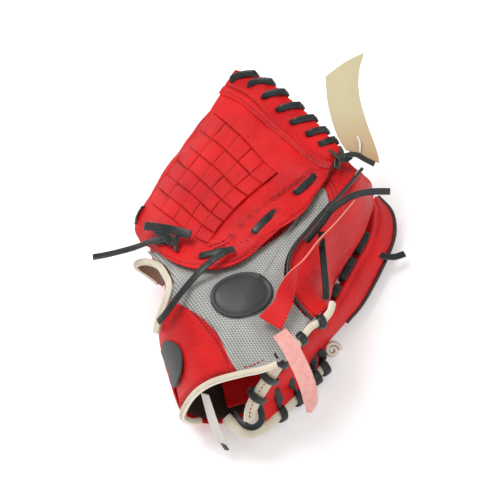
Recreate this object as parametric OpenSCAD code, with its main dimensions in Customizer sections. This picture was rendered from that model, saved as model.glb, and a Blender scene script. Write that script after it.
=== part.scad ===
// Baseball glove, closed, lying on its finger side with the thumb side up.
// X runs towards the open mouth of the pocket, Y from the wrist to the web, Z up.
// Each leather piece is a thin patch stretched between four seam curves.

/* [Leather] */
// Thickness of the outer leather
leather_t = 2.4; // [1.6:0.2:3]
// Thickness of the soft inner lining
lining_t = 1.4; // [0.8:0.2:2]
// Thickness of the air mesh on the thumb's back
mesh_t = 2.4; // [1.6:0.2:3]
// Thickness of the felt pads
pad_t = 5; // [3:0.5:6]

/* [Lacing] */
// Width of the rawhide lace
lace_w = 5; // [4:0.2:6]
// Thickness of the rawhide lace
lace_t = 2; // [1.6:0.2:2.4]
// Width of the black welting
welt_d = 2.4; // [1.6:0.2:3]
// Width of the rolled binding
binding_d = 5; // [4:0.5:7]

/* [Fingers] */
// Width of the index finger stall
index_w = 29; // [24:1:30]
// Width of the middle finger stall
middle_w = 35; // [28:1:36]
// Width of the ring finger stall
ring_w = 38; // [30:1:38]
// Width of the little finger stall
pinky_w = 38; // [30:1:38]
// Height of a finger stall
stall_h = 22; // [18:1:23]
// Wall of a finger stall, leather and lining together
stall_wall = 3; // [2:0.5:4]

/* [Web] */
// Straps of the woven basket that run from the wrist to the top
weave_long_count = 5; // [4:1:6]
// Straps that cross them
weave_cross_count = 6; // [5:1:7]
// Thickness of a woven strap
weave_t = 1.4; // [1.2:0.2:1.6]

/* [Trim] */
// Long axis of the oval patch
oval_w = 47; // [40:1:50]
// Short axis of the oval patch
oval_h = 37; // [30:1:39]
// Thickness of the hang tag's card
tag_t = 1.2; // [0.8:0.2:1.6]
// Width of the hook-and-loop strap
strap_w = 13; // [11:1:15]

/* [Hidden] */

red = "firebrick";
black = "darkslategray";
cream = "antiquewhite";

// Line through the middle of the hollow hand, which outward directions start from
core_a = [0, -150, 50];
core_b = [10, 80, 50];

// Shift that puts the origin on the table under the middle of the glove
home = [-13, 26, -0.1];

// Seam curves of the web
web_low = [[-84, -22, 58], [-62, -49, 86], [-40, -62, 96], [-13, -64, 105], [13, -47, 106], [38, -22, 104],
    [59, 16, 99]];
web_high = [[-12, 125, 65], [9, 114, 73], [27, 96, 80], [49, 70, 87], [71, 39, 92]];
web_left = [[-84, -22, 58], [-89, -3, 56], [-76, 27, 55], [-57, 57, 56], [-34, 90, 59], [-12, 125, 65]];
web_right = [[59, 16, 99], [67, 24, 97], [71, 39, 92]];

// Seam curves of the thumb
mesh_left = [[-62, -80, 80], [-58, -68, 83], [-61, -57, 80], [-66, -48, 73], [-74, -39, 62], [-80, -28, 52]];
mesh_low = [[-62, -80, 80], [-54, -86, 84], [-41, -98, 92], [-27, -114, 96], [-8, -143, 96],
    [15, -138, 97], [30, -128, 97], [45, -103, 97]];
welt_line = [[45, -103, 97], [31, -86, 101], [27, -70, 102], [28, -54, 102], [34, -41, 101],
    [44, -28, 100], [59, -8, 97], [73, 10, 94], [84, 28, 87]];
mesh_high = [[-80, -28, 52], [-62, -42, 74], [-37, -53, 85], [-12, -49, 91], [12, -35, 93],
    [34, -12, 91], [52, 14, 85], [68, 32, 79], [84, 28, 87]];

// Middle of the rolled binding round the opening over the back of the hand
opening_line = [[-71, -97, 62], [-69, -92, 72], [-64, -81, 82], [-61, -69, 84], [-65, -57, 81], [-70, -47, 73],
    [-79, -38.5, 61], [-86, -35, 51]];

// Where the mesh ends and the red tip of the thumb begins, as a share of the length
mesh_tip = 0.84;

// Seam curves of the wrist strap
strap_left = [[-52, -151, 47], [-57, -138, 46], [-61, -125, 47], [-67, -108, 50], [-70, -92, 55]];
strap_low = [[-52, -151, 47], [-43, -149, 66], [-29, -145, 82], [-10, -144, 92]];
strap_high = [[-70, -92, 55], [-66, -89, 71], [-55, -88, 83], [-42, -99, 91]];
strap_right = [[-10, -144, 92], [-17, -131, 95], [-28, -115, 95], [-42, -99, 91]];

// Seam curves of the palm leather on the thumb side
palm_left = [[52, -101, 92], [38, -86, 98], [34, -70, 99], [35, -54, 99], [41, -41, 98], [51, -28, 97],
    [65, -8, 94], [78, 9, 90], [88, 26, 84]];
palm_right = [[58, -66, 44], [66, -44, 40], [76, -25, 38], [88, -4, 38], [95, 13, 42], [97, 25, 50]];
palm_low = [[52, -101, 92], [60, -89, 88], [62, -78, 68], [58, -66, 44]];
palm_tip = [[88, 26, 84], [94, 28, 68], [97, 25, 50]];

// Seam curves of the thumb stall's underside, inside the pocket
under_left = [[20, -92, 84], [8, -64, 84], [16, -40, 86], [36, -14, 85], [60, 12, 80], [84, 24, 76]];
under_right = [[54, -66, 46], [62, -44, 42], [72, -25, 40], [84, -4, 40], [90, 12, 44], [92, 22, 52]];
under_low = [[20, -92, 84], [42, -84, 68], [54, -66, 46]];
under_high = [[84, 24, 76], [90, 24, 64], [92, 22, 52]];

// Seam curves of the pocket leather over the fingers
pocket_left = [[-46, -52, 50], [-54, -4, 54], [-40, 40, 58], [-16, 78, 62]];
pocket_right = [[58, -60, 31], [72, -30, 27], [84, -8, 28], [84, 16, 31]];
pocket_low = [[-46, -52, 50], [-20, -56, 34], [20, -58, 29], [58, -60, 31]];
pocket_high = [[-16, 78, 62], [12, 66, 44], [48, 44, 34], [84, 16, 31]];

// Seam curves of the palm leather on the little finger's side
pinky_left = [[-6, -150, 44], [16, -134, 48], [34, -106, 46], [50, -78, 40], [62, -56, 34],
    [76, -27, 30], [88, -4, 31], [94, 24, 36]];
pinky_right = [[8, -150, 30], [37, -116, 18], [60, -86, 16], [74, -68, 14], [88, -49, 13], [104, -17, 14],
    [112, 6, 15], [110, 24, 19], [99, 34, 27]];
pinky_low = [[-6, -150, 44], [2, -151, 37], [8, -150, 30]];
pinky_tip = [[94, 24, 36], [97, 32, 33], [99, 34, 27]];

// Seam curves of the leather over the back of the hand
back_left = [[-53, -150, 42], [-61, -120, 42], [-68, -92, 44], [-67, -64, 46], [-78, -42, 46]];
back_low = [[-53, -150, 42], [-46, -154, 20], [-24, -152, 7], [6, -140, 3], [40, -114, 4]];
back_high = [[-78, -42, 46], [-72, -62, 18], [-44, -66, 3], [0, -68, 2], [62, -72, 5]];
back_right = [[40, -114, 4], [52, -94, 4], [62, -72, 5]];

// Centrelines of the finger stalls, from the knuckles to the tips
index_line = [[-60, -42, 35], [-66, -2, 37], [-53, 40, 39], [-30, 80, 43], [-10, 103, 47]];
middle_line = [[-42, -52, 15], [-41, -5, 15], [-23, 40, 17], [8, 74, 21], [28, 86, 27]];
ring_line = [[-9, -56, 11], [-1, -8, 11], [21, 30, 12], [46, 52, 16], [63, 58, 22]];
pinky_line = [[26, -58, 11], [44, -24, 10], [68, -2, 10], [87, 10, 12], [96, 16, 14]];

// Middle of the binding along the lower edge of the heel, and of the one on the heel's upper arm
heel_low = [[-18, -158, 39], [-10, -166, 38], [-1, -167, 31], [11, -158, 20], [24, -142, 13], [37, -127, 9],
    [48, -113, 9], [57, -102, 9]];
heel_arm = [[20, -137, 88], [14, -142, 76], [6, -150, 64], [1, -157, 54], [0, -163, 46]];

// Free ends of the lace, from where each leaves the glove
end_index = [[-57, -33, 90], [-66, -31, 86], [-76, -30, 79], [-88, -31, 71], [-99, -32, 66], [-110, -33, 62],
    [-120, -34, 60]];
end_mesh = [[-12, -50, 110], [-20, -54, 111], [-34, -65, 110], [-44, -75, 106], [-54, -85, 99], [-63, -94, 90],
    [-69, -98, 82]];
end_thumb = [[66, 30, 101], [74, 32, 102], [81, 33, 101], [88, 30, 99], [95, 27, 97]];
end_strap = [[42, -44, 109], [48, -37, 110], [55, -28, 111], [62, -18, 112], [74, -9, 112], [84, -4, 110],
    [94, -1, 107], [106, 1, 103]];
end_hanging = [[54, -34, 106], [54, -41, 103], [55, -52, 102], [56, -64, 98], [57, -74, 95], [57, -84, 92]];
end_pinky = [[86, -12, 16], [95, -13, 21], [104, -14, 19], [112, -13, 15], [120, -9, 12]];

// ---------- geometry ----------

function blend(a, b, t) = a + (b - a) * t;
function unit(v) = v / norm(v);
function clamp(x, lo, hi) = min(max(x, lo), hi);

// Catmull-Rom curve through four points
function spline4(a, b, c, d, t) = 0.5 * (2 * b + (c - a) * t + (2 * a - 5 * b + 4 * c - d) * t * t
    + (3 * b - a - 3 * c + d) * t * t * t);

// Point at share t of a smooth curve through a list of points
function along(pts, t) =
    let (last = len(pts) - 1, x = clamp(t, 0, 1) * last, i = min(floor(x), last - 1))
    let (before = i > 0 ? pts[i - 1] : 2 * pts[0] - pts[1])
    let (after = i < last - 1 ? pts[i + 2] : 2 * pts[last] - pts[last - 1])
    spline4(before, pts[i], pts[i + 1], after, x - i);

// Patch stretched between four curves: low and high run with u, left and right with v
function stretch(seams, u, v) =
    let (low = seams[0], high = seams[1], left = seams[2], right = seams[3])
    blend(along(low, u), along(high, u), v) + blend(along(left, v), along(right, v), u)
    - blend(blend(low[0], low[len(low) - 1], u), blend(high[0], high[len(high) - 1], u), v);

// Direction away from the core line
function outward(p) =
    let (axis = core_b - core_a, t = clamp((p - core_a) * axis / (axis * axis), 0, 1))
    unit(p - core_a - t * axis);

// The patch with a crown of the given height, raised or sunk along the outward direction
function skin(seams, crown, level, u, v) =
    let (p = stretch(seams, u, v))
    p + outward(p) * (level + crown * 16 * u * (1 - u) * v * (1 - v));

// Closed solid between an outer and an inner grid of points
module slab(outer, inner) {
    rows = len(outer);
    cols = len(outer[0]);
    half = rows * cols;
    points = concat([for (r = outer) each r], [for (r = inner) each r]);
    function at(i, j) = i * cols + j;
    function quad(a, b, c, d) = [[a, b, c], [a, c, d]];
    top = [for (i = [0 : rows - 2], j = [0 : cols - 2])
        each quad(at(i, j), at(i + 1, j), at(i + 1, j + 1), at(i, j + 1))];
    bottom = [for (i = [0 : rows - 2], j = [0 : cols - 2])
        each quad(half + at(i, j), half + at(i, j + 1), half + at(i + 1, j + 1), half + at(i + 1, j))];
    ends = [for (j = [0 : cols - 2], i = [0, rows - 1])
        let (a = at(i, j), b = at(i, j + 1))
        each (i == 0 ? quad(a, b, half + b, half + a) : quad(b, a, half + a, half + b))];
    sides = [for (i = [0 : rows - 2], j = [0, cols - 1])
        let (a = at(i, j), b = at(i + 1, j))
        each (j == 0 ? quad(b, a, half + a, half + b) : quad(a, b, half + b, half + a))];
    translate(home) polyhedron(points = points, faces = concat(top, bottom, ends, sides), convexity = 6);
}

// Leather cut from a patch: its outer face at the given level, its thickness going inwards
module panel(seams, thickness, crown = 0, level = 0, u0 = 0.01, u1 = 0.99, v0 = 0.01, v1 = 0.99, nu = 10, nv = 8) {
    function grid(lift) = [for (j = [0 : nv]) [for (i = [0 : nu])
        skin(seams, crown, level - lift, blend(u0, u1, i / nu), blend(v0, v1, j / nv))]];
    slab(grid(0), grid(thickness));
}

// Leather whose thickness goes along one fixed direction
module flat_panel(seams, thickness, down, crown = 0, u0 = 0.01, u1 = 0.99, v0 = 0.01, v1 = 0.99, nu = 10, nv = 8) {
    function top(u, v) = stretch(seams, u, v) - down * crown * 16 * u * (1 - u) * v * (1 - v);
    function grid(lift) = [for (j = [0 : nv]) [for (i = [0 : nu])
        top(blend(u0, u1, i / nu), blend(v0, v1, j / nv)) + down * lift]];
    slab(grid(0), grid(thickness));
}

// Solid swept through a list of rings with the same number of points, or round to the first ring again
module sweep(rings, closed = false) {
    n = len(rings[0]);
    last = len(rings) - 1;
    points = concat([for (r = rings) each r], closed ? [] : [mean(rings[0]), mean(rings[last])]);
    walls = [for (i = [0 : closed ? last : last - 1], j = [0 : n - 1])
        let (k = (j + 1) % n, next = (i + 1) % (last + 1), a = i * n + j, b = i * n + k, c = next * n + j,
            d = next * n + k)
        each [[a, b, d], [a, d, c]]];
    start = [for (j = [0 : n - 1]) [(last + 1) * n, (j + 1) % n, j]];
    finish = [for (j = [0 : n - 1]) [(last + 1) * n + 1, last * n + j, last * n + (j + 1) % n]];
    translate(home) polyhedron(points = points, faces = closed ? walls : concat(walls, start, finish),
        convexity = 6);
}

function mean(pts) = let (n = len(pts)) [for (k = [0 : 2]) [for (p = pts) p[k]] * [for (p = pts) 1 / n]];

// Oval ring across a direction of travel, flat towards the face direction
function ring(centre, travel, face, width, height, sides) =
    let (t = unit(travel), side = unit(cross(t, face)), up = cross(side, t))
    [for (k = [0 : sides - 1]) let (a = 360 * k / sides + 180 / sides)
        centre + side * width / 2 * cos(a) * 1.08 + up * height / 2 * sin(a) * 1.08];

// Rings along a smooth curve, facing away from the core line or along a fixed direction
function rings_along(line, count, width, height, sides, face = undef) = [for (i = [0 : count])
    let (t = i / count, p = along(line, t), step = 0.004)
    ring(p, along(line, min(t + step, 1)) - along(line, max(t - step, 0)),
        is_undef(face) ? outward(p) : face, width, height, sides)];

// Lace, binding or welting along a curve
module cord(line, width, height, count = 12, sides = 8, face = undef) {
    sweep(rings_along(line, count, width, height, sides, face));
}

// Hollow finger stall, open at the knuckles and round at the tip
module stall(line, width, height, face) {
    steps = 10;
    sides = 14;
    round_from = 0.82;
    function taper(t) = 0.84 + 0.16 * sin(180 * min(t * 1.1, 1));
    function tip(t) = t < round_from ? 1 : sqrt(max(1 - pow((t - round_from) / (1.02 - round_from), 2), 0.03));
    function shell(inset) = [for (i = [0 : steps])
        let (t = pow(i / steps, 0.75) * (1 - inset / 60), p = along(line, t))
        ring(p, along(line, t + 0.01) - along(line, max(t - 0.01, 0)), face,
            (width * taper(t) - 2 * inset) * tip(i / steps), (height * taper(t) - 2 * inset) * tip(i / steps),
            sides)];
    outer = shell(0);
    inner = shell(stall_wall);
    sweep(concat([for (i = [steps : -1 : 0]) inner[i]], outer));
}

function reversed(list) = [for (i = [len(list) - 1 : -1 : 0]) list[i]];

// Leather cut from a patch along four curves in the patch's own (u, v)
module cut(seams, edges, thickness, crown = 0, level = 0, nu = 8, nv = 6) {
    function grid(lift) = [for (j = [0 : nv]) [for (i = [0 : nu])
        let (uv = stretch(edges, i / nu, j / nv)) skin(seams, crown, level - lift, uv[0], uv[1])]];
    slab(grid(0), grid(thickness));
}

// One end of a lace: comes up at uv a, runs over the leather and goes down at uv b
module stitch(seams, crown, a, b, lift, width = lace_w) {
    function p(t, h) = let (uv = blend(a, b, t)) skin(seams, crown, h, uv[0], uv[1]);
    line = [p(0, -0.8), p(0.08, lift * 0.7), p(0.3, lift), p(0.7, lift), p(0.92, lift * 0.7), p(1, -0.8)];
    cord(line, width, lace_t, 8);
}

// ---------- seams ----------

web = [web_low, web_high, web_left, web_right];
web_crown = 6;
thumb = [mesh_low, mesh_high, mesh_left, welt_line];
thumb_crown = 2;
strap = [strap_low, strap_high, strap_left, strap_right];
palm = [palm_low, palm_tip, palm_left, palm_right];
pinky = [pinky_low, pinky_tip, pinky_left, pinky_right];
back = [reversed(back_low), reversed(back_high), back_right, back_left];
down = [-0.15, 0, -0.99];

// Window of the woven basket in the web: its corners as (u, v)
window = [[0.04, 0.34], [0.41, 0.184], [0.629, 0.574], [0.055, 0.806]];
// Its edges, from corner to corner: bottom, right, top and left
window_edges = [[window[0], [0.25, 0.275], window[1]], [window[1], [0.487, 0.367], window[2]],
    [window[2], [0.385, 0.722], window[3]], [window[3], [0.04, 0.57], window[0]]];
// Fold of the top band, from the index finger's side to the thumb's
fold = [[0.01, 0.888], [0.24, 0.862], [0.45, 0.816], [0.67, 0.732], [0.93, 0.555]];
// Lower corner of the web leather at the thumb
web_corner = [0.985, 0.01];

// ---------- web ----------

module web_back_panel() {
    color(red) panel(web, leather_t * 0.75, web_crown, -4.3, 0.02, 0.955, 0.05, 0.95, 12, 9);
}

// One leather all round the window: cross-sections that run from the window to the outer edge
module web_front_panel() {
    low_left = [0.01, 0.01];
    near_fold = [for (p = fold) p - [0, 0.015]];
    outer = [[low_left, [0.35, 0.01], [0.7, 0.01], web_corner], [web_corner, near_fold[4]], reversed(near_fold),
        [near_fold[0], low_left]];
    counts = [12, 5, 10, 7];
    sections = [for (k = [0 : 3]) for (i = [0 : counts[k] - 1])
        let (t = i / counts[k], a = along(window_edges[k], t), b = along(outer[k], t))
        concat([for (s = [0 : 4]) let (uv = blend(a, b, s / 4)) skin(web, web_crown, 0, uv[0], uv[1])],
            [for (s = [4 : -1 : 0]) let (uv = blend(a, b, s / 4)) skin(web, web_crown, -leather_t, uv[0], uv[1])])];
    color(red) sweep(sections, true);
}

// Height of a woven strap over or under its neighbour
function weave_height(phase) = clamp(3 * cos(180 * phase), -1, 1) * (weave_t / 2 + 0.3);

// Point on the weave: a runs across the window, b along it
function weave_point(a, b, lift) =
    let (uv = stretch([window_edges[0], reversed(window_edges[2]), reversed(window_edges[3]), window_edges[1]],
        a, b))
    skin(web, web_crown, lift - 0.2, uv[0], uv[1]);

// A woven strap as a slab: index k of n, running along the window or across it
module woven(k, n, crossed, long_way) {
    lo = (k + 0.1) / n;
    hi = (k + 0.9) / n;
    steps = crossed * 4;
    function lift(t) = weave_height(t * crossed - 0.5 + k + (long_way ? 1 : 0)) + (weave_t - 2) / 2;
    function grid(h) = [for (j = long_way ? [0 : steps] : [0 : 2]) [for (i = long_way ? [0 : 2] : [0 : steps])
        let (t = (long_way ? j : i) / steps, s = blend(lo, hi, (long_way ? i : j) / 2))
        weave_point(long_way ? s : t, long_way ? t : s, lift(t) - h)]];
    slab(grid(0), grid(weave_t * 0.8));
}

module web_weave_long() {
    color(red) for (k = [0 : weave_long_count - 1]) woven(k, weave_long_count, weave_cross_count, true);
}

module web_weave_cross() {
    color(red) for (k = [0 : weave_cross_count - 1]) woven(k, weave_cross_count, weave_long_count, false);
}

module web_top_band() {
    color(red) cut(web, [fold, [[0.01, 0.99], [0.5, 0.99], [0.985, 0.99]], [fold[0], [0.01, 0.99]],
        [fold[4], [0.985, 0.99]]], leather_t, web_crown, 1.2, 12, 3);
}

// Lace loops whipped over the top edge of the web: each from its hole to where it crosses the edge
module web_top_lace() {
    holes = [[0.05, 0.952], [0.209, 0.945], [0.359, 0.922], [0.49, 0.905], [0.606, 0.88], [0.724, 0.865],
        [0.825, 0.847]];
    crossings = [0.2, 0.36, 0.49, 0.62, 0.73, 0.83, 0.905];
    function p(k, t, h) = let (uv = blend(holes[k], [crossings[k], 0.99], t)) skin(web, web_crown, h, uv[0], uv[1]);
    color(black) for (k = [0 : len(holes) - 1])
        cord([p(k, 0, 1), p(k, 0.12, 3.1), p(k, 0.6, 3.4), p(k, 0.97, 2.8), p(k, 0.97, 2.8) + [2, 0.4, -4],
            p(k, 1, -6), p(k, 0.9, -7)], lace_w + 0.6, lace_t, 10, 6);
}

module web_thumb_lace() {
    color(black) {
        stitch(web, web_crown, [0.365, 0.1], [0.495, 0.125], 1.8);
        stitch(web, web_crown, [0.605, 0.17], [0.69, 0.275], 1.8);
        stitch(web, web_crown, [0.765, 0.38], [0.84, 0.52], 1.8);
    }
}

module web_index_lace() {
    color(black) {
        stitch(web, web_crown, [0.014, 0.2], [0.014, 0.3], 1.4, 4);
        stitch(web, web_crown, [0.1, 0.12], [0.2, 0.16], 1.6);
    }
}

// Square knot at the index finger's side, with a short bar across it
module web_knot() {
    color(black) {
        cord([[-80, -19, 83], [-70, -24, 91], [-58, -27, 97], [-45, -31, 101]], lace_w + 1, lace_t, 8);
        cord([[-70, -25, 87], [-64, -31, 89], [-58, -38, 91], [-54, -42, 93]], lace_w + 1, lace_t, 6);
    }
}

// ---------- thumb side ----------

module thumb_mesh() {
    color("darkgray") panel(thumb, mesh_t, thumb_crown, 0, 0.012, 0.97, 0.01, mesh_tip - 0.005, 14, 12);
}

module thumb_tip_back() {
    color(red) panel(thumb, leather_t, thumb_crown, 0, 0.35, 0.97, mesh_tip + 0.005, 0.99, 8, 4);
}

module thumb_palm() {
    color(red) panel(palm, leather_t, 2, 0, 0.01, 0.99, 0.01, 0.99, 8, 12);
}

module thumb_underside() {
    color(red) flat_panel([under_low, under_high, under_left, under_right], leather_t, [0.5, 0, 0.85], -4, nu = 6,
        nv = 10);
}

module thumb_lining() {
    color("saddlebrown") panel(thumb, lining_t, thumb_crown, -mesh_t - 0.6, 0.06, 0.9, 0.06, 0.8, 10, 8);
}

module thumb_pad() {
    color("gainsboro") panel(thumb, pad_t, thumb_crown, -mesh_t - lining_t - 1.6, 0.5, 0.88, 0.08, 0.5, 6, 6);
}

// Loop inside the thumb's stall that the thumb passes through
module thumb_loop() {
    color(black) cord([[4, -62, 86], [-2, -58, 76], [8, -54, 68], [20, -50, 68], [29, -46, 76], [27, -42, 86]],
        9, 1.8, 12, face = [0, 1, 0.2]);
}

module thumb_welting() {
    line = [for (p = welt_line) p + outward(p) * 0.4 + [1.4, 0, 0]];
    color(black) cord(line, welt_d, welt_d, 30);
}

module thumb_knot() {
    color(black) {
        cord([[62, 38, 97], [66, 32, 101], [72, 29, 102], [76, 34, 99]], lace_w + 1, lace_t + 0.4, 8);
        cord([[70, 42, 93], [70, 36, 97], [67, 30, 99], [66, 22, 99]], lace_w + 2, lace_t, 6);
    }
}

module wrist_strap() {
    color(red) panel(strap, leather_t, 3, 0, 0.01, 0.985, 0.02, 0.985, 8, 8);
}

module strap_label() {
    color(black) cut(strap, [[[0.01, 0.3], [0.05, 0.24], [0.13, 0.23]], [[0.01, 0.74], [0.18, 0.72], [0.35, 0.64]],
        [[0.01, 0.3], [0.01, 0.74]], [[0.13, 0.23], [0.32, 0.28], [0.44, 0.42], [0.44, 0.55], [0.35, 0.64]]],
        1, 3, 1.3, 6, 6);
}

module wrist_binding() {
    line = concat(strap_low, [[8, -141, 97], [20, -137, 98]]);
    color(cream) cord([for (p = line) p + [0, -2.6, -0.4]], binding_d, binding_d, 20, 10);
}

module back_opening_binding() {
    color(cream) cord(opening_line, binding_d, binding_d, 18, 10);
}

// Share (u, v) of the thumb's patch under a point of the plan, by Newton's method
function under(target, uv = [0.6, 0.43], left = 12) = left == 0 ? uv :
    let (p = skin(thumb, thumb_crown, 0, uv[0], uv[1]), e = 0.01)
    let (pu = (skin(thumb, thumb_crown, 0, uv[0] + e, uv[1]) - p) / e)
    let (pv = (skin(thumb, thumb_crown, 0, uv[0], uv[1] + e) - p) / e, miss = target - [p[0], p[1]])
    let (step = [miss[0] * pv[1] - miss[1] * pv[0], pu[0] * miss[1] - pu[1] * miss[0]]
        / (pu[0] * pv[1] - pu[1] * pv[0]))
    under(target, uv + step * min(1, 0.08 / max(norm(step), 0.001)), left - 1);

// Raised oval on the thumb's back, its long axis turned by the tilt
module oval_patch() {
    centre = [-6, -86];
    tilt = 15;
    function at(r, a, h) =
        let (x = r * cos(a) * oval_w / 2, y = r * sin(a) * oval_h / 2)
        let (uv = under(centre + [x * cos(tilt) - y * sin(tilt), x * sin(tilt) + y * cos(tilt)]))
        skin(thumb, thumb_crown, h, uv[0], uv[1]);
    function rim(r, h) = [for (k = [0 : 31]) at(r, k * 360 / 32, h)];
    color(black) sweep([rim(0.5, 0.9), rim(1, 0.7), rim(1, 1.9), rim(0.86, 2.7), rim(0.5, 2.1)]);
}

module thumb_heel_binding() {
    color(cream) cord([[62, -87, 92], [60, -95, 94], [54, -103, 95], [46, -108, 96], [39, -117, 96],
        [34, -126, 96]], binding_d, binding_d, 14, 10);
}

module heel_arm_binding() {
    color(cream) cord(heel_arm, 10, 4, 12, 10, [0.4, -0.5, 0.8]);
}

// Lace wrapped round a binding: loops at the given shares of its length
module wraps(line, places, across, thick, face) {
    for (t = places) {
        p = along(line, t);
        travel = unit(along(line, min(t + 0.02, 1)) - along(line, max(t - 0.02, 0)));
        side = unit(cross(travel, face));
        up = cross(side, travel);
        loop = [for (a = [-30 : 30 : 210])
            p + side * across * cos(a) + up * thick * sin(a) + travel * (a - 90) * 0.018];
        rings = [for (i = [0 : len(loop) - 1])
            let (before = loop[max(i - 1, 0)], after = loop[min(i + 1, len(loop) - 1)])
            ring(loop[i], after - before, loop[i] - p, lace_w, lace_t, 6)];
        sweep(rings);
    }
}

module heel_lace_thumb() {
    color(black) {
        wraps(heel_arm, [0.1, 0.45, 0.75], 7.2, 4, [0.4, -0.5, 0.8]);
        wraps([[62, -87, 92], [54, -103, 95], [46, -108, 96], [39, -117, 96], [34, -126, 96]], [0.42, 0.82], 4.2, 4,
            [0, 0, 1]);
    }
}

// Closure strap, upper part: edge-on at its free end, then folded flat
module closure_strap() {
    line = [[78, -11, 108], [63, -32, 112], [51, -46, 113.5], [39, -63, 114], [31, -77, 114], [27, -88, 113.5],
        [24, -98, 113], [15, -113, 112.5]];
    edge_on = [0.66, -0.52, -0.24];
    faces = [edge_on, edge_on, edge_on, edge_on, [0.6, -0.4, 0.4], [0.3, -0.1, 0.9], [0, 0, 1], [0, -0.2, 1]];
    widths = [0.75, 1, 1, 1, 1, 1.05, 1.1, 1.5] * strap_w;
    color(red) {
        sweep([for (i = [0 : 24]) let (t = i / 24, p = along(line, t), step = 0.01)
            ring(p, along(line, min(t + step, 1)) - along(line, max(t - step, 0)), along(faces, t),
                along([for (w = widths) [w, 0, 0]], t)[0], 1.8, 8)]);
    }
}

module closure_tail() {
    color("pink") cord([[22, -122, 116], [29, -131.5, 115], [34, -141, 113], [39, -151, 110], [43, -161, 105],
        [45, -169, 98], [44, -175, 90]], strap_w, 1.8, 16, face = [0.1, -0.15, 1]);
}

// Curled card that stands behind the tip of the thumb
module hang_tag() {
    left = [[73, 43, 90], [66, 57, 91], [60, 80, 93], [58, 103, 96]];
    right = [[99, 33, 87], [97, 42, 91], [89, 65, 96], [84, 86, 99], [84, 104, 101], [88, 121, 101]];
    low = [[73, 43, 90], [84, 39, 88], [99, 33, 87]];
    high = [[58, 103, 96], [73, 113, 99], [88, 121, 101]];
    color("wheat") flat_panel([low, high, left, right], tag_t, [0, 0, -1], 0, 0, 1, 0, 1, 8, 10);
}

module tag_fastener() {
    color("white") cord([[84, 40, 91], [84, 46, 95], [82, 50, 98]], 1.6, 1.6, 5, 6);
}

module care_label() {
    line = [[-34, -150, 66], [-31, -156, 54], [-28, -162, 42], [-24, -168, 30], [-20, -172, 20]];
    color("ivory") sweep([for (i = [0 : 10]) let (t = i / 10)
        ring(along(line, t), along(line, min(t + 0.02, 1)) - along(line, max(t - 0.02, 0)), [-0.6, -0.8, 0.3],
            blend(7.5, 12, t), 1, 8)]);
}

// ---------- finger side ----------

module index_stall() {
    color(red) stall(index_line, index_w, stall_h - 2, [-0.8, 0, -0.6]);
}

module middle_stall() {
    color(red) stall(middle_line, middle_w, stall_h, [-0.25, 0, -0.97]);
}

module ring_stall() {
    color(red) stall(ring_line, ring_w, stall_h - 2, [0, 0, -1]);
}

module pinky_stall() {
    color(red) stall(pinky_line, pinky_w, stall_h - 4, [0.05, 0, -1]);
}

// Lace that runs through the fingertips
module finger_lace() {
    color(black) {
        cord([[-20, 96, 42], [-8, 92, 36], [2, 86, 34]], lace_w, lace_t, 6);
        cord([[30, 82, 30], [40, 72, 26], [48, 64, 25]], lace_w, lace_t, 6);
        cord([[68, 54, 26], [78, 38, 22], [84, 26, 20]], lace_w, lace_t, 6);
    }
}

// Loop inside the little finger's stall
module pinky_loop() {
    color(black) cord([[34, -66, 8], [33, -66, 14], [26, -67, 19], [19, -68, 14], [18, -68, 8]], 9, 1.8, 10,
        face = [0, 1, 0]);
}

module back_of_hand() {
    color(red) panel(back, leather_t, 0, 0, 0.01, 0.99, 0.02, 0.99, 14, 8);
}

module wrist_strap_lower() {
    color(red) cut(back, [[[0.45, 0.06], [0.97, 0.06]], [[0.55, 0.8], [0.985, 0.85]], [[0.45, 0.06], [0.55, 0.8]],
        [[0.97, 0.06], [0.985, 0.85]]], 1.6, 0, 2.2, 10, 6);
}

module palm_lining() {
    color("darkred") panel(back, lining_t, 0, -leather_t - 0.9, 0.06, 0.94, 0.06, 0.94, 10, 6);
}

module palm_pad() {
    color("gainsboro") panel(back, pad_t, 0, -leather_t - lining_t - 1.2, 0.1, 0.4, 0.15, 0.85, 6, 6);
}

module pocket_leather() {
    color(red) flat_panel([pocket_low, pocket_high, pocket_left, pocket_right], leather_t, [0, 0, -1], 0, nu = 10,
        nv = 10);
}

module pinky_palm() {
    color(red) flat_panel(pinky, leather_t, down, 5, 0.01, 0.99, 0.01, 0.99, 10, 14);
}

module pinky_welting() {
    line = [for (p = pinky_right) p + [1.6, 0, -1.2]];
    color(black) cord([for (i = [3 : len(line) - 1]) line[i]], welt_d, welt_d, 20);
}

module heel_binding() {
    color(cream) cord(heel_low, 8, 6, 20, 10, [0.3, -0.5, 0.8]);
}

// End of the heel binding, rolled up
module heel_roll() {
    function spiral(a, inset) = (7.2 - a / 120 - inset) * [cos(a), sin(a)];
    color(cream) translate(home + [63.5, -90, 11]) rotate([25, 0, 0]) linear_extrude(9, center = true)
        polygon(concat([for (a = [0 : 20 : 580]) spiral(a, 0)], [for (a = [580 : -20 : 0]) spiral(a, 2.2)]));
}

module heel_lace_pinky() {
    color(black) wraps(heel_low, [0.56, 0.7, 0.88, 0.98], 6.8, 5.4, [0.3, -0.5, 0.8]);
}

module palm_lace() {
    function p(v, h) = stretch(pinky, 0.04, v) - down * h;
    color(black) for (ends = [[0.565, 0.62], [0.64, 0.745], [0.765, 0.875]]) {
        a = ends[0];
        b = ends[1];
        cord([p(a, -1), p(blend(a, b, 0.12), 3.2), p(blend(a, b, 0.5), 4.2), p(blend(a, b, 0.88), 3.2), p(b, -1)],
            lace_w + 1, lace_t, 8, 8, -down);
    }
}

// ---------- free lace ends ----------

module free_end(line, face = undef) {
    color(black) cord(line, lace_w, lace_t, max(8, 2 * len(line)), 8, face);
}

module lace_end_index() {
    free_end(end_index, [0, 0.3, 1]);
}

module lace_end_mesh() {
    free_end(end_mesh, [-0.4, 0, 1]);
}

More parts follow.
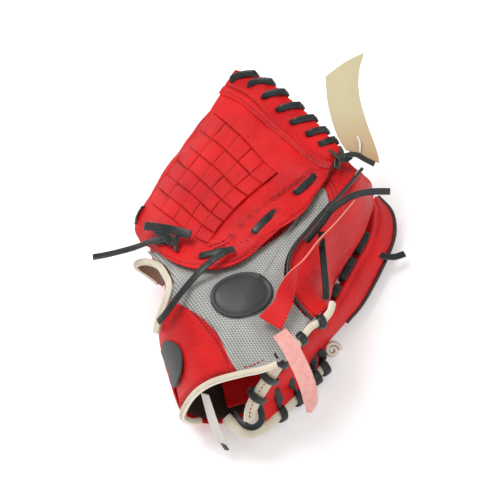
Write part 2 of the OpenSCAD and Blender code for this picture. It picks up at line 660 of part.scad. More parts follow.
module lace_end_thumb() {
    free_end(end_thumb, [0, 0.5, 1]);
}

module lace_end_strap() {
    free_end(end_strap, [0.3, -0.6, 1]);
}

module lace_end_hanging() {
    free_end(end_hanging, [0, -0.3, 1]);
}

module lace_end_pinky() {
    free_end(end_pinky, [0, 0, 1]);
}

web_back_panel();
web_front_panel();
web_weave_long();
web_weave_cross();
web_top_band();
web_top_lace();
web_thumb_lace();
web_index_lace();
web_knot();
thumb_mesh();
thumb_tip_back();
thumb_palm();
thumb_lining();
thumb_pad();
thumb_loop();
thumb_welting();
thumb_knot();
thumb_underside();
pocket_leather();
wrist_strap();
strap_label();
wrist_binding();
back_opening_binding();
oval_patch();
thumb_heel_binding();
heel_arm_binding();
heel_lace_thumb();
closure_strap();
closure_tail();
hang_tag();
tag_fastener();
care_label();
index_stall();
middle_stall();
ring_stall();
pinky_stall();
finger_lace();
pinky_loop();
back_of_hand();
wrist_strap_lower();
palm_lining();
palm_pad();
pinky_palm();
pinky_welting();
heel_binding();
heel_roll();
heel_lace_pinky();
palm_lace();
lace_end_index();
lace_end_mesh();
lace_end_thumb();
lace_end_strap();
lace_end_hanging();
lace_end_pinky();
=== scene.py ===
"""Looks of a baseball glove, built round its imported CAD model.

Lengths are millimetres, in the CAD's own layout, until make() turns them into metres in the shared frame.
The leather pieces are thin patches stretched between the same seam curves as in the CAD.
"""

import math

import bpy
import numpy as np
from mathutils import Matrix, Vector


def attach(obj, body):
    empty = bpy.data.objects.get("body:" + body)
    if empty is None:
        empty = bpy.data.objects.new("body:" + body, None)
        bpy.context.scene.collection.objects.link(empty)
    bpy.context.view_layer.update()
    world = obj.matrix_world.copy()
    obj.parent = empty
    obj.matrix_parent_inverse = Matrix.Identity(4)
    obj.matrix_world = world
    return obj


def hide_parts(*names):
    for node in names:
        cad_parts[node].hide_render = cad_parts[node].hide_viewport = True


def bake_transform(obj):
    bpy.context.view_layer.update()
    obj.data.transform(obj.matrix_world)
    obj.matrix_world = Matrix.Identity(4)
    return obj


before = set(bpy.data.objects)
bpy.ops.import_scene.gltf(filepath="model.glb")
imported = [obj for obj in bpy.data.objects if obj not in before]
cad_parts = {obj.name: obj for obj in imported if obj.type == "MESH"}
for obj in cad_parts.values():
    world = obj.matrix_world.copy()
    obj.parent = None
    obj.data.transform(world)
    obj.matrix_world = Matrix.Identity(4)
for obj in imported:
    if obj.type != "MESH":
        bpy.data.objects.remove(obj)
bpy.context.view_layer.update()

HOME = np.array([-13, 26, -0.1])  # the CAD's shift to the middle of the table
LEATHER, LINING, MESH, PAD = 2.4, 1.4, 2.4, 5
LACE_W, LACE_T = 5, 2
WELT, BINDING, STRAP_W = 2.4, 5, 13
CORE_A, CORE_B = np.array([0.0, -150, 50]), np.array([10.0, 80, 50])

# ---------- camera ----------
LENS, SENSOR, VIEW_WIDTH, ELEVATION = 300, 36, 382.5, 65
TARGET = np.array([0, -28, 60])


def add_camera():
    data = bpy.data.cameras.new("camera")
    data.lens, data.sensor_width, data.clip_end = LENS, SENSOR, 20
    camera = bpy.data.objects.new("camera", data)
    away = VIEW_WIDTH * LENS / SENSOR
    lift = math.radians(ELEVATION)
    place = TARGET + HOME + away * np.array([0, -math.cos(lift), math.sin(lift)])
    camera.location = place / 1000
    camera.rotation_euler = (math.pi / 2 - lift, 0, 0)
    bpy.context.collection.objects.link(camera)
    bpy.context.scene.camera = camera


add_camera()

# ---------- curves and patches, as in the CAD ----------


def along(points, t):
    """Point at share t of a smooth curve through a list of points."""
    points = np.asarray(points, float)
    last = len(points) - 1
    x = np.clip(np.asarray(t, float), 0, 1) * last
    i = np.minimum(np.floor(x).astype(int), last - 1)
    f = (x - i)[..., None]
    full = np.vstack([2 * points[0] - points[1], points, 2 * points[-1] - points[-2]])
    a, b, c, d = full[i], full[i + 1], full[i + 2], full[i + 3]
    return 0.5 * (2 * b + (c - a) * f + (2 * a - 5 * b + 4 * c - d) * f**2 + (3 * b - a - 3 * c + d) * f**3)


def mix(a, b, t):
    return a + (b - a) * t


def unit(v):
    return v / np.maximum(np.linalg.norm(v, axis=-1, keepdims=True), 1e-9)


def stretch(seams, u, v):
    """Patch stretched between four curves: low and high run with u, left and right with v."""
    low, high, left, right = [np.asarray(s, float) for s in seams]
    u, v = np.broadcast_arrays(np.asarray(u, float), np.asarray(v, float))
    a, b = u[..., None], v[..., None]
    return (
        mix(along(low, u), along(high, u), b)
        + mix(along(left, v), along(right, v), a)
        - mix(mix(low[0], low[-1], a), mix(high[0], high[-1], a), b)
    )


def outward(p):
    """Direction away from the line through the middle of the hand."""
    axis = CORE_B - CORE_A
    t = np.clip((p - CORE_A) @ axis / (axis @ axis), 0, 1)
    return unit(p - CORE_A - t[..., None] * axis)


def between(low, high):
    """Four seams round the area between two lines, with straight sides."""
    return [low, high, [low[0], high[0]], [low[-1], high[-1]]]


def facing(way, points):
    """A fixed direction at every point, or outward from the hand where way is None."""
    if way is None:
        return outward(points)
    return np.broadcast_to(unit(np.asarray(way, float)), points.shape)


def surface(patch, u, v, level=0.0):
    """Points of a patch (seams, crown, fixed direction or None) at a level above it."""
    seams, crown, fixed = patch
    u, v, level = np.broadcast_arrays(np.asarray(u, float), np.asarray(v, float), np.asarray(level, float))
    base = stretch(seams, u, v)
    way = facing(fixed, base)
    return base + way * (level + crown * 16 * u * (1 - u) * v * (1 - v))[..., None], way


web_low = [[-84, -22, 58], [-62, -49, 86], [-40, -62, 96], [-13, -64, 105], [13, -47, 106], [38, -22, 104],
           [59, 16, 99]]
web_high = [[-12, 125, 65], [9, 114, 73], [27, 96, 80], [49, 70, 87], [71, 39, 92]]
web_left = [[-84, -22, 58], [-89, -3, 56], [-76, 27, 55], [-57, 57, 56], [-34, 90, 59], [-12, 125, 65]]
web_right = [[59, 16, 99], [67, 24, 97], [71, 39, 92]]
mesh_left = [[-62, -80, 80], [-58, -68, 83], [-61, -57, 80], [-66, -47, 74], [-75, -37.5, 65], [-83, -26, 58]]
mesh_low = [[-62, -80, 80], [-54, -86, 84], [-41, -98, 92], [-27, -114, 96], [-8, -145.5, 96.5],
            [15, -141, 97.5], [31, -131, 97.5], [45, -103, 97]]
welt_line = [[45, -103, 97], [31, -86, 101], [27, -70, 102], [28, -54, 102], [34, -41, 101], [44, -28, 100],
             [59, -8, 97], [73, 10, 94], [84, 28, 87]]
mesh_high = [[-83, -26, 58], [-64, -38, 78], [-37, -53, 85], [-12, -49, 91], [12, -35, 93], [34, -12, 91],
             [54, 24, 84], [70, 40, 85], [84, 28, 87]]
opening_line = [[-71, -97, 62], [-69, -92, 72], [-64, -81, 82], [-61, -69, 84], [-65, -57, 81],
                [-70, -47, 73], [-79, -38.5, 61], [-86, -35, 51]]
strap_left = [[-52, -151, 47], [-57, -138, 46], [-61, -125, 47], [-67, -108, 50], [-70, -92, 55]]
strap_low = [[-52, -151, 47], [-43, -149, 66], [-29, -145, 82], [-8, -144, 95.5]]
strap_high = [[-70, -92, 55], [-67, -84, 72], [-58, -82, 84], [-41, -96, 94]]
strap_right = [[-8, -144, 95.5], [-11.5, -134.5, 98.4], [-19, -121, 99], [-31, -106.5, 97.5], [-41, -96, 94]]
palm_left = [[x + 2, y - 0.5, z - 1.5] for x, y, z in welt_line]
palm_right = [[58, -66, 44], [66, -44, 40], [76, -25, 38], [88, -4, 38], [95, 13, 42], [97, 25, 50]]
palm_low = [palm_left[0], [60, -89, 88], [62, -78, 68], [58, -66, 44]]
palm_tip = [palm_left[-1], [94, 28, 68], [97, 25, 50]]
under_left = [[20, -92, 84], [8, -64, 84], [16, -40, 86], [36, -14, 85], [60, 12, 80], [84, 24, 76]]
under_right = [[54, -66, 46], [62, -44, 42], [72, -25, 40], [84, -4, 40], [90, 12, 44], [92, 22, 52]]
under_low = [[20, -92, 84], [42, -84, 68], [54, -66, 46]]
under_high = [[84, 24, 76], [90, 24, 64], [92, 22, 52]]
pocket_left = [[-46, -52, 50], [-54, -4, 54], [-40, 40, 58], [-16, 78, 62]]
pocket_right = [[58, -60, 31], [72, -30, 27], [84, -8, 28], [84, 16, 31]]
pocket_low = [[-46, -52, 50], [-20, -56, 34], [20, -58, 29], [58, -60, 31]]
pocket_high = [[-16, 78, 62], [12, 66, 44], [48, 44, 34], [84, 16, 31]]
pinky_left = [[-6, -150, 44], [16, -134, 48], [34, -106, 46], [50, -78, 40], [62, -56, 34], [76, -27, 30],
              [88, -4, 31], [94, 24, 36]]
pinky_right = [[8, -150, 30], [37, -116, 18], [60, -86, 16], [74, -68, 14], [88, -49, 13], [104, -17, 14],
               [112, 6, 15], [110, 24, 19], [99, 34, 27]]
pinky_low = [[-6, -150, 44], [2, -151, 37], [8, -150, 30]]
pinky_tip = [[94, 24, 36], [97, 32, 33], [99, 34, 27]]
back_left = [[-53, -150, 42], [-61, -120, 42], [-67, -92, 44], [-62, -66, 46], [-66, -46, 44]]
back_low = [[-53, -150, 42], [-46, -154, 20], [-24, -152, 7], [6, -140, 3], [40, -114, 4]]
back_high = [[-66, -46, 44], [-64, -62, 18], [-44, -66, 3], [0, -68, 2], [62, -72, 5]]
back_right = [[40, -114, 4], [52, -94, 4], [62, -72, 5]]

PALM_UP = np.array([0.15, 0, 0.99])
WEB = ([web_low, web_high, web_left, web_right], 6, None)
THUMB = ([mesh_low, mesh_high, mesh_left, welt_line], 2, None)
STRAP = ([strap_low, strap_high, strap_left, strap_right], 3, None)
PALM = ([palm_low, palm_tip, palm_left, palm_right], 2, None)
PINKY = ([pinky_low, pinky_tip, pinky_left, pinky_right], 5, PALM_UP)
BACK = ([back_low[::-1], back_high[::-1], back_right, back_left], 0, None)
UNDER = ([under_low, under_high, under_left, under_right], 4, [-0.5, 0, -0.85])
POCKET = ([pocket_low, pocket_high, pocket_left, pocket_right], 0, [0, 0, 1])

WINDOW = np.array([[0.04, 0.34], [0.41, 0.184], [0.629, 0.574], [0.055, 0.806]])
WINDOW_EDGES = [[WINDOW[0], [0.25, 0.275], WINDOW[1]], [WINDOW[1], [0.487, 0.367], WINDOW[2]],
                [WINDOW[2], [0.385, 0.722], WINDOW[3]], [WINDOW[3], [0.04, 0.57], WINDOW[0]]]
BASKET = [WINDOW_EDGES[0], WINDOW_EDGES[2][::-1], WINDOW_EDGES[3][::-1], WINDOW_EDGES[1]]
FOLD = np.array([[0.01, 0.888], [0.24, 0.862], [0.45, 0.816], [0.67, 0.732], [0.93, 0.555]])
LOW_EDGE = np.array([[0.01, 0.01], [0.3, 0.01], [0.58, 0.03], [0.76, 0.09], [0.92, 0.075], [0.985, 0.01]])
LONG_STRAPS, CROSS_STRAPS, WEAVE_T = 5, 6, 1.4

# ---------- materials ----------


class Material:
    """A Principled material and short calls to add nodes to it."""

    def __init__(self, name, **sockets):
        self.data = bpy.data.materials.new(name)
        self.data.use_nodes = True
        self.tree = self.data.node_tree
        self.shader = self.tree.nodes["Principled BSDF"]
        self.set(self.shader, sockets)

    def set(self, node, sockets):
        for key, value in sockets.items():
            socket = node.inputs[key.replace("_", " ") if isinstance(key, str) else key]
            if isinstance(value, bpy.types.NodeSocket):
                self.tree.links.new(value, socket)
            else:
                socket.default_value = value

    def add(self, kind, out=0, options=(), **sockets):
        node = self.tree.nodes.new("ShaderNode" + kind)
        for key, value in dict(options).items():
            setattr(node, key, value)
        self.set(node, sockets)
        return node.outputs[out]

    def math(self, operation, a, b=0.0, c=0.0):
        node = self.tree.nodes.new("ShaderNodeMath")
        node.operation = operation
        self.set(node, {0: a, 1: b, 2: c})
        return node.outputs[0]

    def times(self, a, b):
        return self.math("MULTIPLY", a, b)

    def plus(self, a, b):
        return self.math("ADD", a, b)

    def place(self):
        return self.add("TexCoord", out="Object")

    def uv(self):
        return self.add("TexCoord", out="UV")

    def attribute(self, name):
        return self.add("Attribute", out="Fac", options={"attribute_name": name})

    def noise(self, scale, detail=3.0, vector=None, roughness=0.5):
        return self.add("TexNoise", Vector=vector or self.place(), Scale=scale, Detail=detail,
                        Roughness=roughness)

    def ramp(self, value, *stops):
        node = self.tree.nodes.new("ShaderNodeValToRGB")
        self.tree.links.new(value, node.inputs[0])
        for k, (position, colour) in enumerate(stops):
            stop = node.color_ramp.elements[k] if k < 2 else node.color_ramp.elements.new(position)
            stop.position = position
            stop.color = (*colour, 1) if len(colour) == 3 else colour
        return node.outputs[0]

    def fade(self, value, low, high):
        """Black up to low and white from high."""
        return self.ramp(value, (low, (0, 0, 0)), (high, (1, 1, 1)))

    def blend(self, share, a, b, kind="MIX"):
        node = self.tree.nodes.new("ShaderNodeMix")
        node.data_type, node.blend_type = "RGBA", kind
        for socket, value in zip([node.inputs[0], node.inputs[6], node.inputs[7]], [share, a, b]):
            if isinstance(value, bpy.types.NodeSocket):
                self.tree.links.new(value, socket)
            else:
                socket.default_value = (*value, 1) if isinstance(value, tuple) else value
        return node.outputs[2]

    def bump(self, height, strength, distance, onto=None):
        sockets = {"Height": height, "Strength": strength, "Distance": distance}
        if onto is not None:
            sockets["Normal"] = onto
        return self.add("Bump", **sockets)

    def finish(self, colour, normal, roughness=None):
        self.set(self.shader, {"Base Color": colour, "Normal": normal})
        if roughness is not None:
            self.set(self.shader, {"Roughness": roughness})
        return self.data


def leather(name, light, dark, pale, grain=640, rough=0.42, relief=0.0003):
    """Pebbled leather. The vertex attribute shade is painted shade that darkens grooves and hollows, and raw
    shows a pale cut edge.
    """
    m = Material(name, **{"Coat Weight": 0.03, "Coat Roughness": 0.3, "Specular IOR Level": 0.18})
    where = m.place()
    cells = m.add("TexVoronoi", options={"feature": "DISTANCE_TO_EDGE"}, Vector=where, Scale=grain)
    pebble = m.math("SMOOTH_MIN", cells, 0.35, 0.2)
    blotch = m.noise(28, 4)
    fine = m.noise(1500, 4)
    colour = m.blend(m.fade(blotch, 0.35, 0.68), dark, light)
    # Painted shade: the pebbles' valleys are darkened.
    valley = m.ramp(cells, (0.0, (0.55, 0.55, 0.55)), (0.12, (1, 1, 1)))
    colour = m.blend(0.55, colour, valley, "MULTIPLY")
    # Painted shade: the attribute shade darkens grooves and hollows.
    groove_shade = m.times(m.attribute("shade"), 0.72)
    colour = m.blend(groove_shade, colour, (dark[0] * 0.18, dark[1] * 0.2, dark[2] * 0.2))
    colour = m.blend(m.attribute("raw"), colour, pale)
    soft = m.noise(90, 3)
    height = m.bump(m.plus(m.times(soft, 1.6), m.times(fine, 0.25)), 0.35, 0.0009)
    height = m.bump(pebble, 1.0, relief, height)
    rough_map = m.plus(m.times(blotch, 0.22), rough - 0.1)
    return m.finish(colour, height, rough_map)


def lace_leather(name):
    """Glossy rawhide: dark face, brown raw edges where the attribute raw is 1."""
    m = Material(name, **{"Coat Weight": 0.12, "Coat Roughness": 0.2, "Specular IOR Level": 0.3})
    streak = m.add("TexNoise", Vector=m.add("Mapping", Vector=m.uv(), Scale=(900, 60, 1)), Scale=1.0,
                   Detail=4.0)
    blotch = m.noise(150, 4)
    colour = m.blend(m.fade(blotch, 0.35, 0.7), (0.006, 0.007, 0.007),
                     (0.02, 0.023, 0.024))
    edge = m.times(m.attribute("raw"), m.ramp(m.noise(400, 3), (0.3, (0.3,) * 3), (0.6, (1.0,) * 3)))
    colour = m.blend(edge, colour, (0.06, 0.053, 0.045))
    height = m.bump(streak, 0.4, 0.0004, m.bump(blotch, 0.4, 0.0012))
    return m.finish(colour, height, m.plus(m.times(streak, 0.25), 0.24))


def air_mesh(name):
    """Spacer mesh: rows of slanted gaps in a ribbed grey knit, laid out in the piece's own UV."""
    m = Material(name, **{"Sheen Weight": 0.15, "Specular IOR Level": 0.3})
    pitch_u, pitch_v = 2.3, 1.9  # millimetres between holes and between rows
    x, y, _ = (m.add("SeparateXYZ", out=k, Vector=m.uv()) for k in range(3))
    across = m.times(x, 1000 / pitch_u)
    rows = m.times(y, 1000 / pitch_v)
    odd = m.math("MODULO", m.math("FLOOR", rows), 2)
    a = m.math("SUBTRACT", m.math("FRACT", m.plus(across, m.times(odd, 0.5))), 0.5)
    b = m.math("SUBTRACT", m.math("FRACT", rows), 0.5)
    slant = m.times(b, 0.75)
    hole_x = m.math("DIVIDE", m.plus(a, slant), 0.25)
    hole_y = m.math("DIVIDE", b, 0.42)
    far = m.plus(m.times(hole_x, hole_x), m.times(hole_y, hole_y))
    yarn = m.fade(far, 0.25, 1.0)
    fine = m.noise(2600, 2)
    grey = m.blend(m.fade(m.noise(45, 4), 0.35, 0.68), (0.34, 0.345, 0.325),
                   (0.44, 0.445, 0.42))
    colour = m.blend(yarn, (0.13, 0.132, 0.128), grey)
    # Painted shadow: the attribute shade darkens the knit where the web's edge lies on it.
    colour = m.blend(m.times(m.attribute("shade"), 0.7), colour, (0.08, 0.078, 0.072))
    height = m.bump(yarn, 0.9, 0.0007, m.bump(fine, 0.3, 0.0003))
    return m.finish(colour, height, m.plus(m.times(fine, 0.2), 0.62))


def woven_cloth(name, light, dark, pitch=1.1, gloss=0.7):
    """Plain weave in the piece's own UV, in millimetres between threads."""
    m = Material(name, **{"Sheen Weight": 0.2, "Specular IOR Level": 0.3})
    x, y, _ = (m.add("SeparateXYZ", out=k, Vector=m.uv()) for k in range(3))
    turns = 2 * math.pi * 1000 / pitch / 2
    warp = m.math("SINE", m.times(x, turns))
    weft = m.math("SINE", m.times(y, turns))
    check = m.plus(m.times(m.times(warp, weft), 0.5), 0.5)
    patchy = m.noise(260, 4)
    share = m.plus(m.times(check, 0.6), m.times(patchy, 0.45))
    colour = m.blend(m.fade(share, 0.25, 0.8), dark, light)
    colour = m.blend(m.times(m.attribute("shade"), 0.6), colour, dark)
    return m.finish(colour, m.bump(share, 0.6, 0.0004), m.plus(m.times(patchy, 0.2), gloss - 0.1))


def card(name):
    """Uncoated card, browner towards its lower end."""
    m = Material(name, **{"Specular IOR Level": 0.25})
    y = m.add("SeparateXYZ", out=1, Vector=m.place())
    fade = m.ramp(m.times(m.math("SUBTRACT", y, 0.055), 12.0), (0.0, (1, 1, 1)), (0.55, (0, 0, 0)))
    fibre = m.noise(900, 5)
    colour = m.blend(fade, (0.47, 0.41, 0.25), (0.42, 0.24, 0.11))
    colour = m.blend(m.times(fibre, 0.15), colour, (0.6, 0.55, 0.4))
    return m.finish(colour, m.bump(fibre, 0.25, 0.0003, m.bump(m.noise(30, 3), 0.3, 0.002)),
                    m.plus(m.times(fibre, 0.2), 0.5))


def plain(name, light, dark, scale, strength, distance, rough, **sockets):
    """Noise-mottled material for felt, rubber, thread, lining and the like."""
    m = Material(name, **sockets)
    mottle = m.noise(scale, 5)
    colour = m.blend(m.fade(mottle, 0.32, 0.7), dark, light)
    # Painted shade: the attribute shade darkens the colour, as in the oval patch's groove and the lining at
    # the wrist.
    colour = m.blend(m.times(m.attribute("shade"), 0.95), colour, tuple(c * 0.12 for c in dark))
    return m.finish(colour, m.bump(mottle, strength, distance), m.plus(m.times(mottle, 0.15), rough))


RED = leather("red_leather", (0.68, 0.009, 0.011), (0.5, 0.006, 0.008), (0.66, 0.3, 0.22), relief=0.00045)
CREAM = leather("cream_leather", (0.73, 0.66, 0.52), (0.55, 0.49, 0.38), (0.8, 0.75, 0.64), grain=900,
                rough=0.5, relief=0.00012)
BLACK = lace_leather("rawhide_lace")
KNIT = air_mesh("air_mesh")
PATCH = plain("black_patch", (0.03, 0.031, 0.033), (0.016, 0.017, 0.018), 1500, 0.5, 0.0003, 0.38)
WELTING = plain("black_welting", (0.03, 0.03, 0.03), (0.014, 0.014, 0.015), 700, 0.3, 0.0004, 0.35)
LINER = plain("lining", (0.2, 0.09, 0.05), (0.11, 0.05, 0.03), 500, 0.5, 0.0006, 0.75)
FELT = plain("felt", (0.6, 0.59, 0.56), (0.45, 0.44, 0.41), 1800, 0.8, 0.0008, 0.85)
WEBBING = woven_cloth("loop_webbing", (0.04, 0.04, 0.042), (0.012, 0.012, 0.013), 1.6)
TAPE = woven_cloth("hook_loop", (0.78, 0.48, 0.43), (0.6, 0.19, 0.17), 0.9, 0.8)
CARD = card("tag_card")
LABEL = woven_cloth("label_cloth", (0.72, 0.7, 0.64), (0.5, 0.48, 0.43), 0.7, 0.5)
CLEAR = plain("clear_plastic", (0.75, 0.75, 0.75), (0.66, 0.66, 0.67), 300, 0.1, 0.0002, 0.15)
RED_THREAD = plain("red_thread", (0.5, 0.012, 0.02), (0.3, 0.008, 0.012), 2500, 0.5, 0.0002, 0.45)

# ---------- making pieces ----------


def metres(p):
    return (np.asarray(p, float) + HOME) / 1000


def make(name, verts, faces, material, move, replaced=(), uv=None, slot=None, **attributes):
    """A mesh piece on a body; pieces of the flap and the wrist stay fixed in the shared frame."""
    data = bpy.data.meshes.new(name)
    data.from_pydata(metres(verts).tolist(), [], [list(map(int, f)) for f in faces])
    data.polygons.foreach_set("use_smooth", [True] * len(data.polygons))
    if uv is not None:
        index = np.zeros(len(data.loops), int)
        data.loops.foreach_get("vertex_index", index)
        data.uv_layers.new(name="uv").data.foreach_set("uv", (np.asarray(uv)[index] / 1000).ravel())
    for key in ("shade", "raw"):
        value = np.broadcast_to(np.asarray(attributes.get(key, 0.0), np.float32), (len(verts),))
        data.attributes.new(key, "FLOAT", "POINT").data.foreach_set("value", np.ascontiguousarray(value))
    data.materials.append(material)
    obj = bpy.data.objects.new(name, data)
    bpy.context.collection.objects.link(obj)
    if replaced:
        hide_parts(*replaced)
    if move == "flap":
        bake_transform(obj)
    elif move == "wrist":
        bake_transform(obj)
    else:
        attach(obj, move)
    return obj


def steps(count, length, edge):
    """Shares from 0 to 1 with extra ones near both ends, so that an edge can be round."""
    rim = min(edge / length, 0.2)
    near = np.array([0, 0.08, 0.25, 0.5, 0.75]) * rim
    return np.concatenate([near, np.linspace(rim, 1 - rim, count), 1 - near[::-1]])


def quads(g):
    """Four-cornered faces between the neighbours of a grid of vertex numbers."""
    return np.stack([g[:-1, :-1], g[:-1, 1:], g[1:, 1:], g[1:, :-1]], -1).reshape(-1, 4)


def tube_faces(rings, sides, start=0):
    """Faces of a tube of rings that is closed by a cap at each end."""
    g = start + np.arange(rings * sides).reshape(rings, sides)
    g = np.hstack([g, g[:, :1]])
    return quads(g).tolist() + [g[0, :-1][::-1].tolist(), g[-1, :-1].tolist()]


def facing_out(faces, outer, way):
    """The faces of a shell, turned over where they would look inward."""
    facing = np.cross(outer[1:, :-1] - outer[:-1, :-1], outer[:-1, 1:] - outer[:-1, :-1])
    return faces[:, ::-1] if (facing * way[:-1, :-1]).sum() > 0 else faces


def rounding(far, thick, edge):
    """How far each face of a sheet draws in near its rim, so that the edge is round."""
    return thick / 2 * (1 - np.sqrt(np.clip(1 - (1 - np.clip(far / edge, 0, 1)) ** 2, 0, 1)))


def run_along(line):
    """Length along a dense line, at each of its points."""
    return np.concatenate([[0], np.cumsum(np.linalg.norm(np.diff(line, axis=0), axis=1))])


def length_of(line):
    return float(np.linalg.norm(np.diff(line, axis=0), axis=1).sum())


def both_faces(values, inside):
    """Values for the vertices of a shell: its outer grid, then the inner vertices that aren't shared."""
    return np.concatenate([values.ravel(), values[inside].ravel()])


def shell(outer, inner, closed=False):
    """Vertices and faces of a closed sheet between two grids that share their border."""
    rows, cols = outer.shape[:2]
    top = np.arange(rows * cols).reshape(rows, cols)
    bottom = top.copy()
    inside = (slice(1, -1), slice(None)) if closed else (slice(1, -1), slice(1, -1))
    count = bottom[inside].size
    bottom[inside] = rows * cols + np.arange(count).reshape(bottom[inside].shape)
    verts = np.vstack([outer.reshape(-1, 3), inner[inside].reshape(-1, 3)])
    if closed:
        top, bottom = np.hstack([top, top[:, :1]]), np.hstack([bottom, bottom[:, :1]])
    return verts, np.vstack([quads(top), quads(bottom)[:, ::-1]]), inside


def sheet(name, patch, thick, material, move, replaced=(), level=0, span=(0.01, 0.99, 0.01, 0.99), edges=None,
          n=(70, 60), relief=None, edge=1.2, size=None, loop=None, plan=False):
    """A piece of leather or cloth cut from a patch: a span of it, the part between four edges, or a loop.

    relief(p, u, v) gives (height, shade, raw) over it, plan lays its UV out as seen from above, and n counts
    the points each way.
    """
    if loop is not None:
        u, v, size = loop
        share = np.broadcast_to(RING[:, None], u.shape)
        far = np.minimum(share, 1 - share) * RING_WIDTH
        flat = np.stack([u * size[0], v * size[1]], -1)
    else:
        size = size or patch_size(patch, span)
        s, t = np.meshgrid(steps(n[0], size[0], edge), steps(n[1], size[1], edge))
        if edges is None:
            u, v = mix(span[0], span[1], s), mix(span[2], span[3], t)
        else:
            uv = stretch(edges, s, t)
            u, v = uv[..., 0], uv[..., 1]
        far = np.minimum(np.minimum(s, 1 - s) * size[0], np.minimum(t, 1 - t) * size[1])
        flat = np.stack([s * size[0], t * size[1]], -1)
    p, way = surface(patch, u, v, level)
    flat = p[..., :2] if plan else flat
    height, shade, raw = relief(p, u, v) if relief else (0, 0, 0)
    height, shade, raw = (np.broadcast_to(np.asarray(x, float), far.shape) for x in (height, shade, raw))
    roll = rounding(far, thick, edge)
    outer = p + way * (height - roll)[..., None]
    inner = p + way * (roll - thick + np.minimum(height, 0) * 0.6)[..., None]
    verts, faces, inside = shell(outer, inner, loop is not None)
    uv = np.vstack([flat.reshape(-1, 2), flat[inside].reshape(-1, 2)])
    return make(name, verts, facing_out(faces, outer, way), material, move, replaced, uv,
                shade=both_faces(shade, inside), raw=both_faces(raw, inside))


def patch_size(patch, span):
    """Mean length of a patch along u and v, in millimetres."""
    t = np.linspace(0, 1, 40)
    s, t = np.meshgrid(t, t)
    p, _ = surface(patch, mix(span[0], span[1], s), mix(span[2], span[3], t))
    return (np.linalg.norm(np.diff(p, axis=1), axis=-1).sum(1).mean(),
            np.linalg.norm(np.diff(p, axis=0), axis=-1).sum(0).mean())


def waves(p, size, height, seed):
    """Gentle unevenness: a few sine waves in seeded directions, about size apart."""
    random = np.random.default_rng(seed)
    total = 0
    for _ in range(8):
        way = unit(random.normal(size=3))
        length, phase = size * random.uniform(0.7, 1.6), random.uniform(0, 6.3)
        total = total + np.sin(p @ way * 2 * np.pi / length + phase)
    return total * height / math.sqrt(8)


def line_on(patch, uv, level=0.0, count=160):
    """A line of points on a patch through (u, v) pairs."""
    at = along(uv, np.linspace(0, 1, count))
    return surface(patch, at[:, 0], at[:, 1], level)[0]


BATCH = 20000  # points measured at a time, to save memory


def distance(p, line):
    """Distance from each point to a dense line, and the length along the line where it is nearest."""
    flat = p.reshape(-1, 3)
    run = run_along(line)
    best, where = np.full(len(flat), 1e9), np.zeros(len(flat))
    for start in range(0, len(flat), BATCH):
        batch = slice(start, start + BATCH)
        d = np.linalg.norm(flat[batch, None] - line[None], axis=2)
        nearest = d.argmin(1)
        best[batch] = d.min(1)
        where[batch] = run[nearest]
    return best.reshape(p.shape[:-1]), where.reshape(p.shape[:-1])


PITCH = 3.4  # millimetres from one stitch to the next


def sewn(p, lines, depth=0.7, width=1.1):
    """Height and shade of the grooves that rows of stitches pull into leather."""
    height, shade = np.zeros(p.shape[:-1]), np.zeros(p.shape[:-1])
    for line in lines:
        d, run = distance(p, line)
        pull = np.exp(-((d / width) ** 2))
        tuck = 0.72 + 0.28 * np.cos(2 * np.pi * run / PITCH)
        height = height - depth * pull * tuck + 0.25 * np.exp(-(((d - 2.6) / 1.4) ** 2))
        shade = np.maximum(shade, 0.75 * np.exp(-((d / (width * 0.6)) ** 2)))
    return height, shade


def thread(name, lines, move, lift=0.15, radius=0.42, length=2.5, way=None):
    """Rows of stitches along lines, as small capsules that dip at both ends."""
    sides, rings = 6, 5
    bow = np.sin(np.linspace(0, np.pi, rings))
    thick = radius * np.array([0.45, 0.95, 1, 0.95, 0.45])
    angle = np.linspace(0, 2 * np.pi, sides, endpoint=False)
    verts, faces = [], []
    for line in lines:
        run = run_along(line)
        for start in np.arange(0.5, run[-1] - length, PITCH):
            at = start + np.linspace(0, length, rings)
            centre = np.stack([np.interp(at, run, line[:, k]) for k in range(3)], 1)
            up = facing(way, centre)
            travel = unit(np.gradient(centre, axis=0))
            side = unit(np.cross(travel, up))
            ring = (centre + up * (lift - 0.45 + 0.5 * bow)[:, None])[:, None] + thick[:, None, None] * (
                side[:, None] * np.cos(angle)[:, None] + up[:, None] * np.sin(angle)[:, None])
            faces.extend(tube_faces(rings, sides, len(verts) * sides * rings))
            verts.append(ring.reshape(-1, 3))
    return make(name, np.vstack(verts), faces, RED_THREAD, move, slot="red_leather")


def profile(value, t):
    """A width or height at shares t: one number, or a list that is spread evenly and smoothed."""
    if np.ndim(value) == 0:
        return np.broadcast_to(value, t.shape)
    return along(np.asarray(value, float)[:, None], t)[:, 0]


def wobble(run, seed):
    """Seeded waves of a few millimetres along a run, from -1 to 1."""
    random = np.random.default_rng(seed)
    return sum(np.sin(run / random.uniform(1.6, 5) + random.uniform(0, 6)) for _ in range(4)) / 4


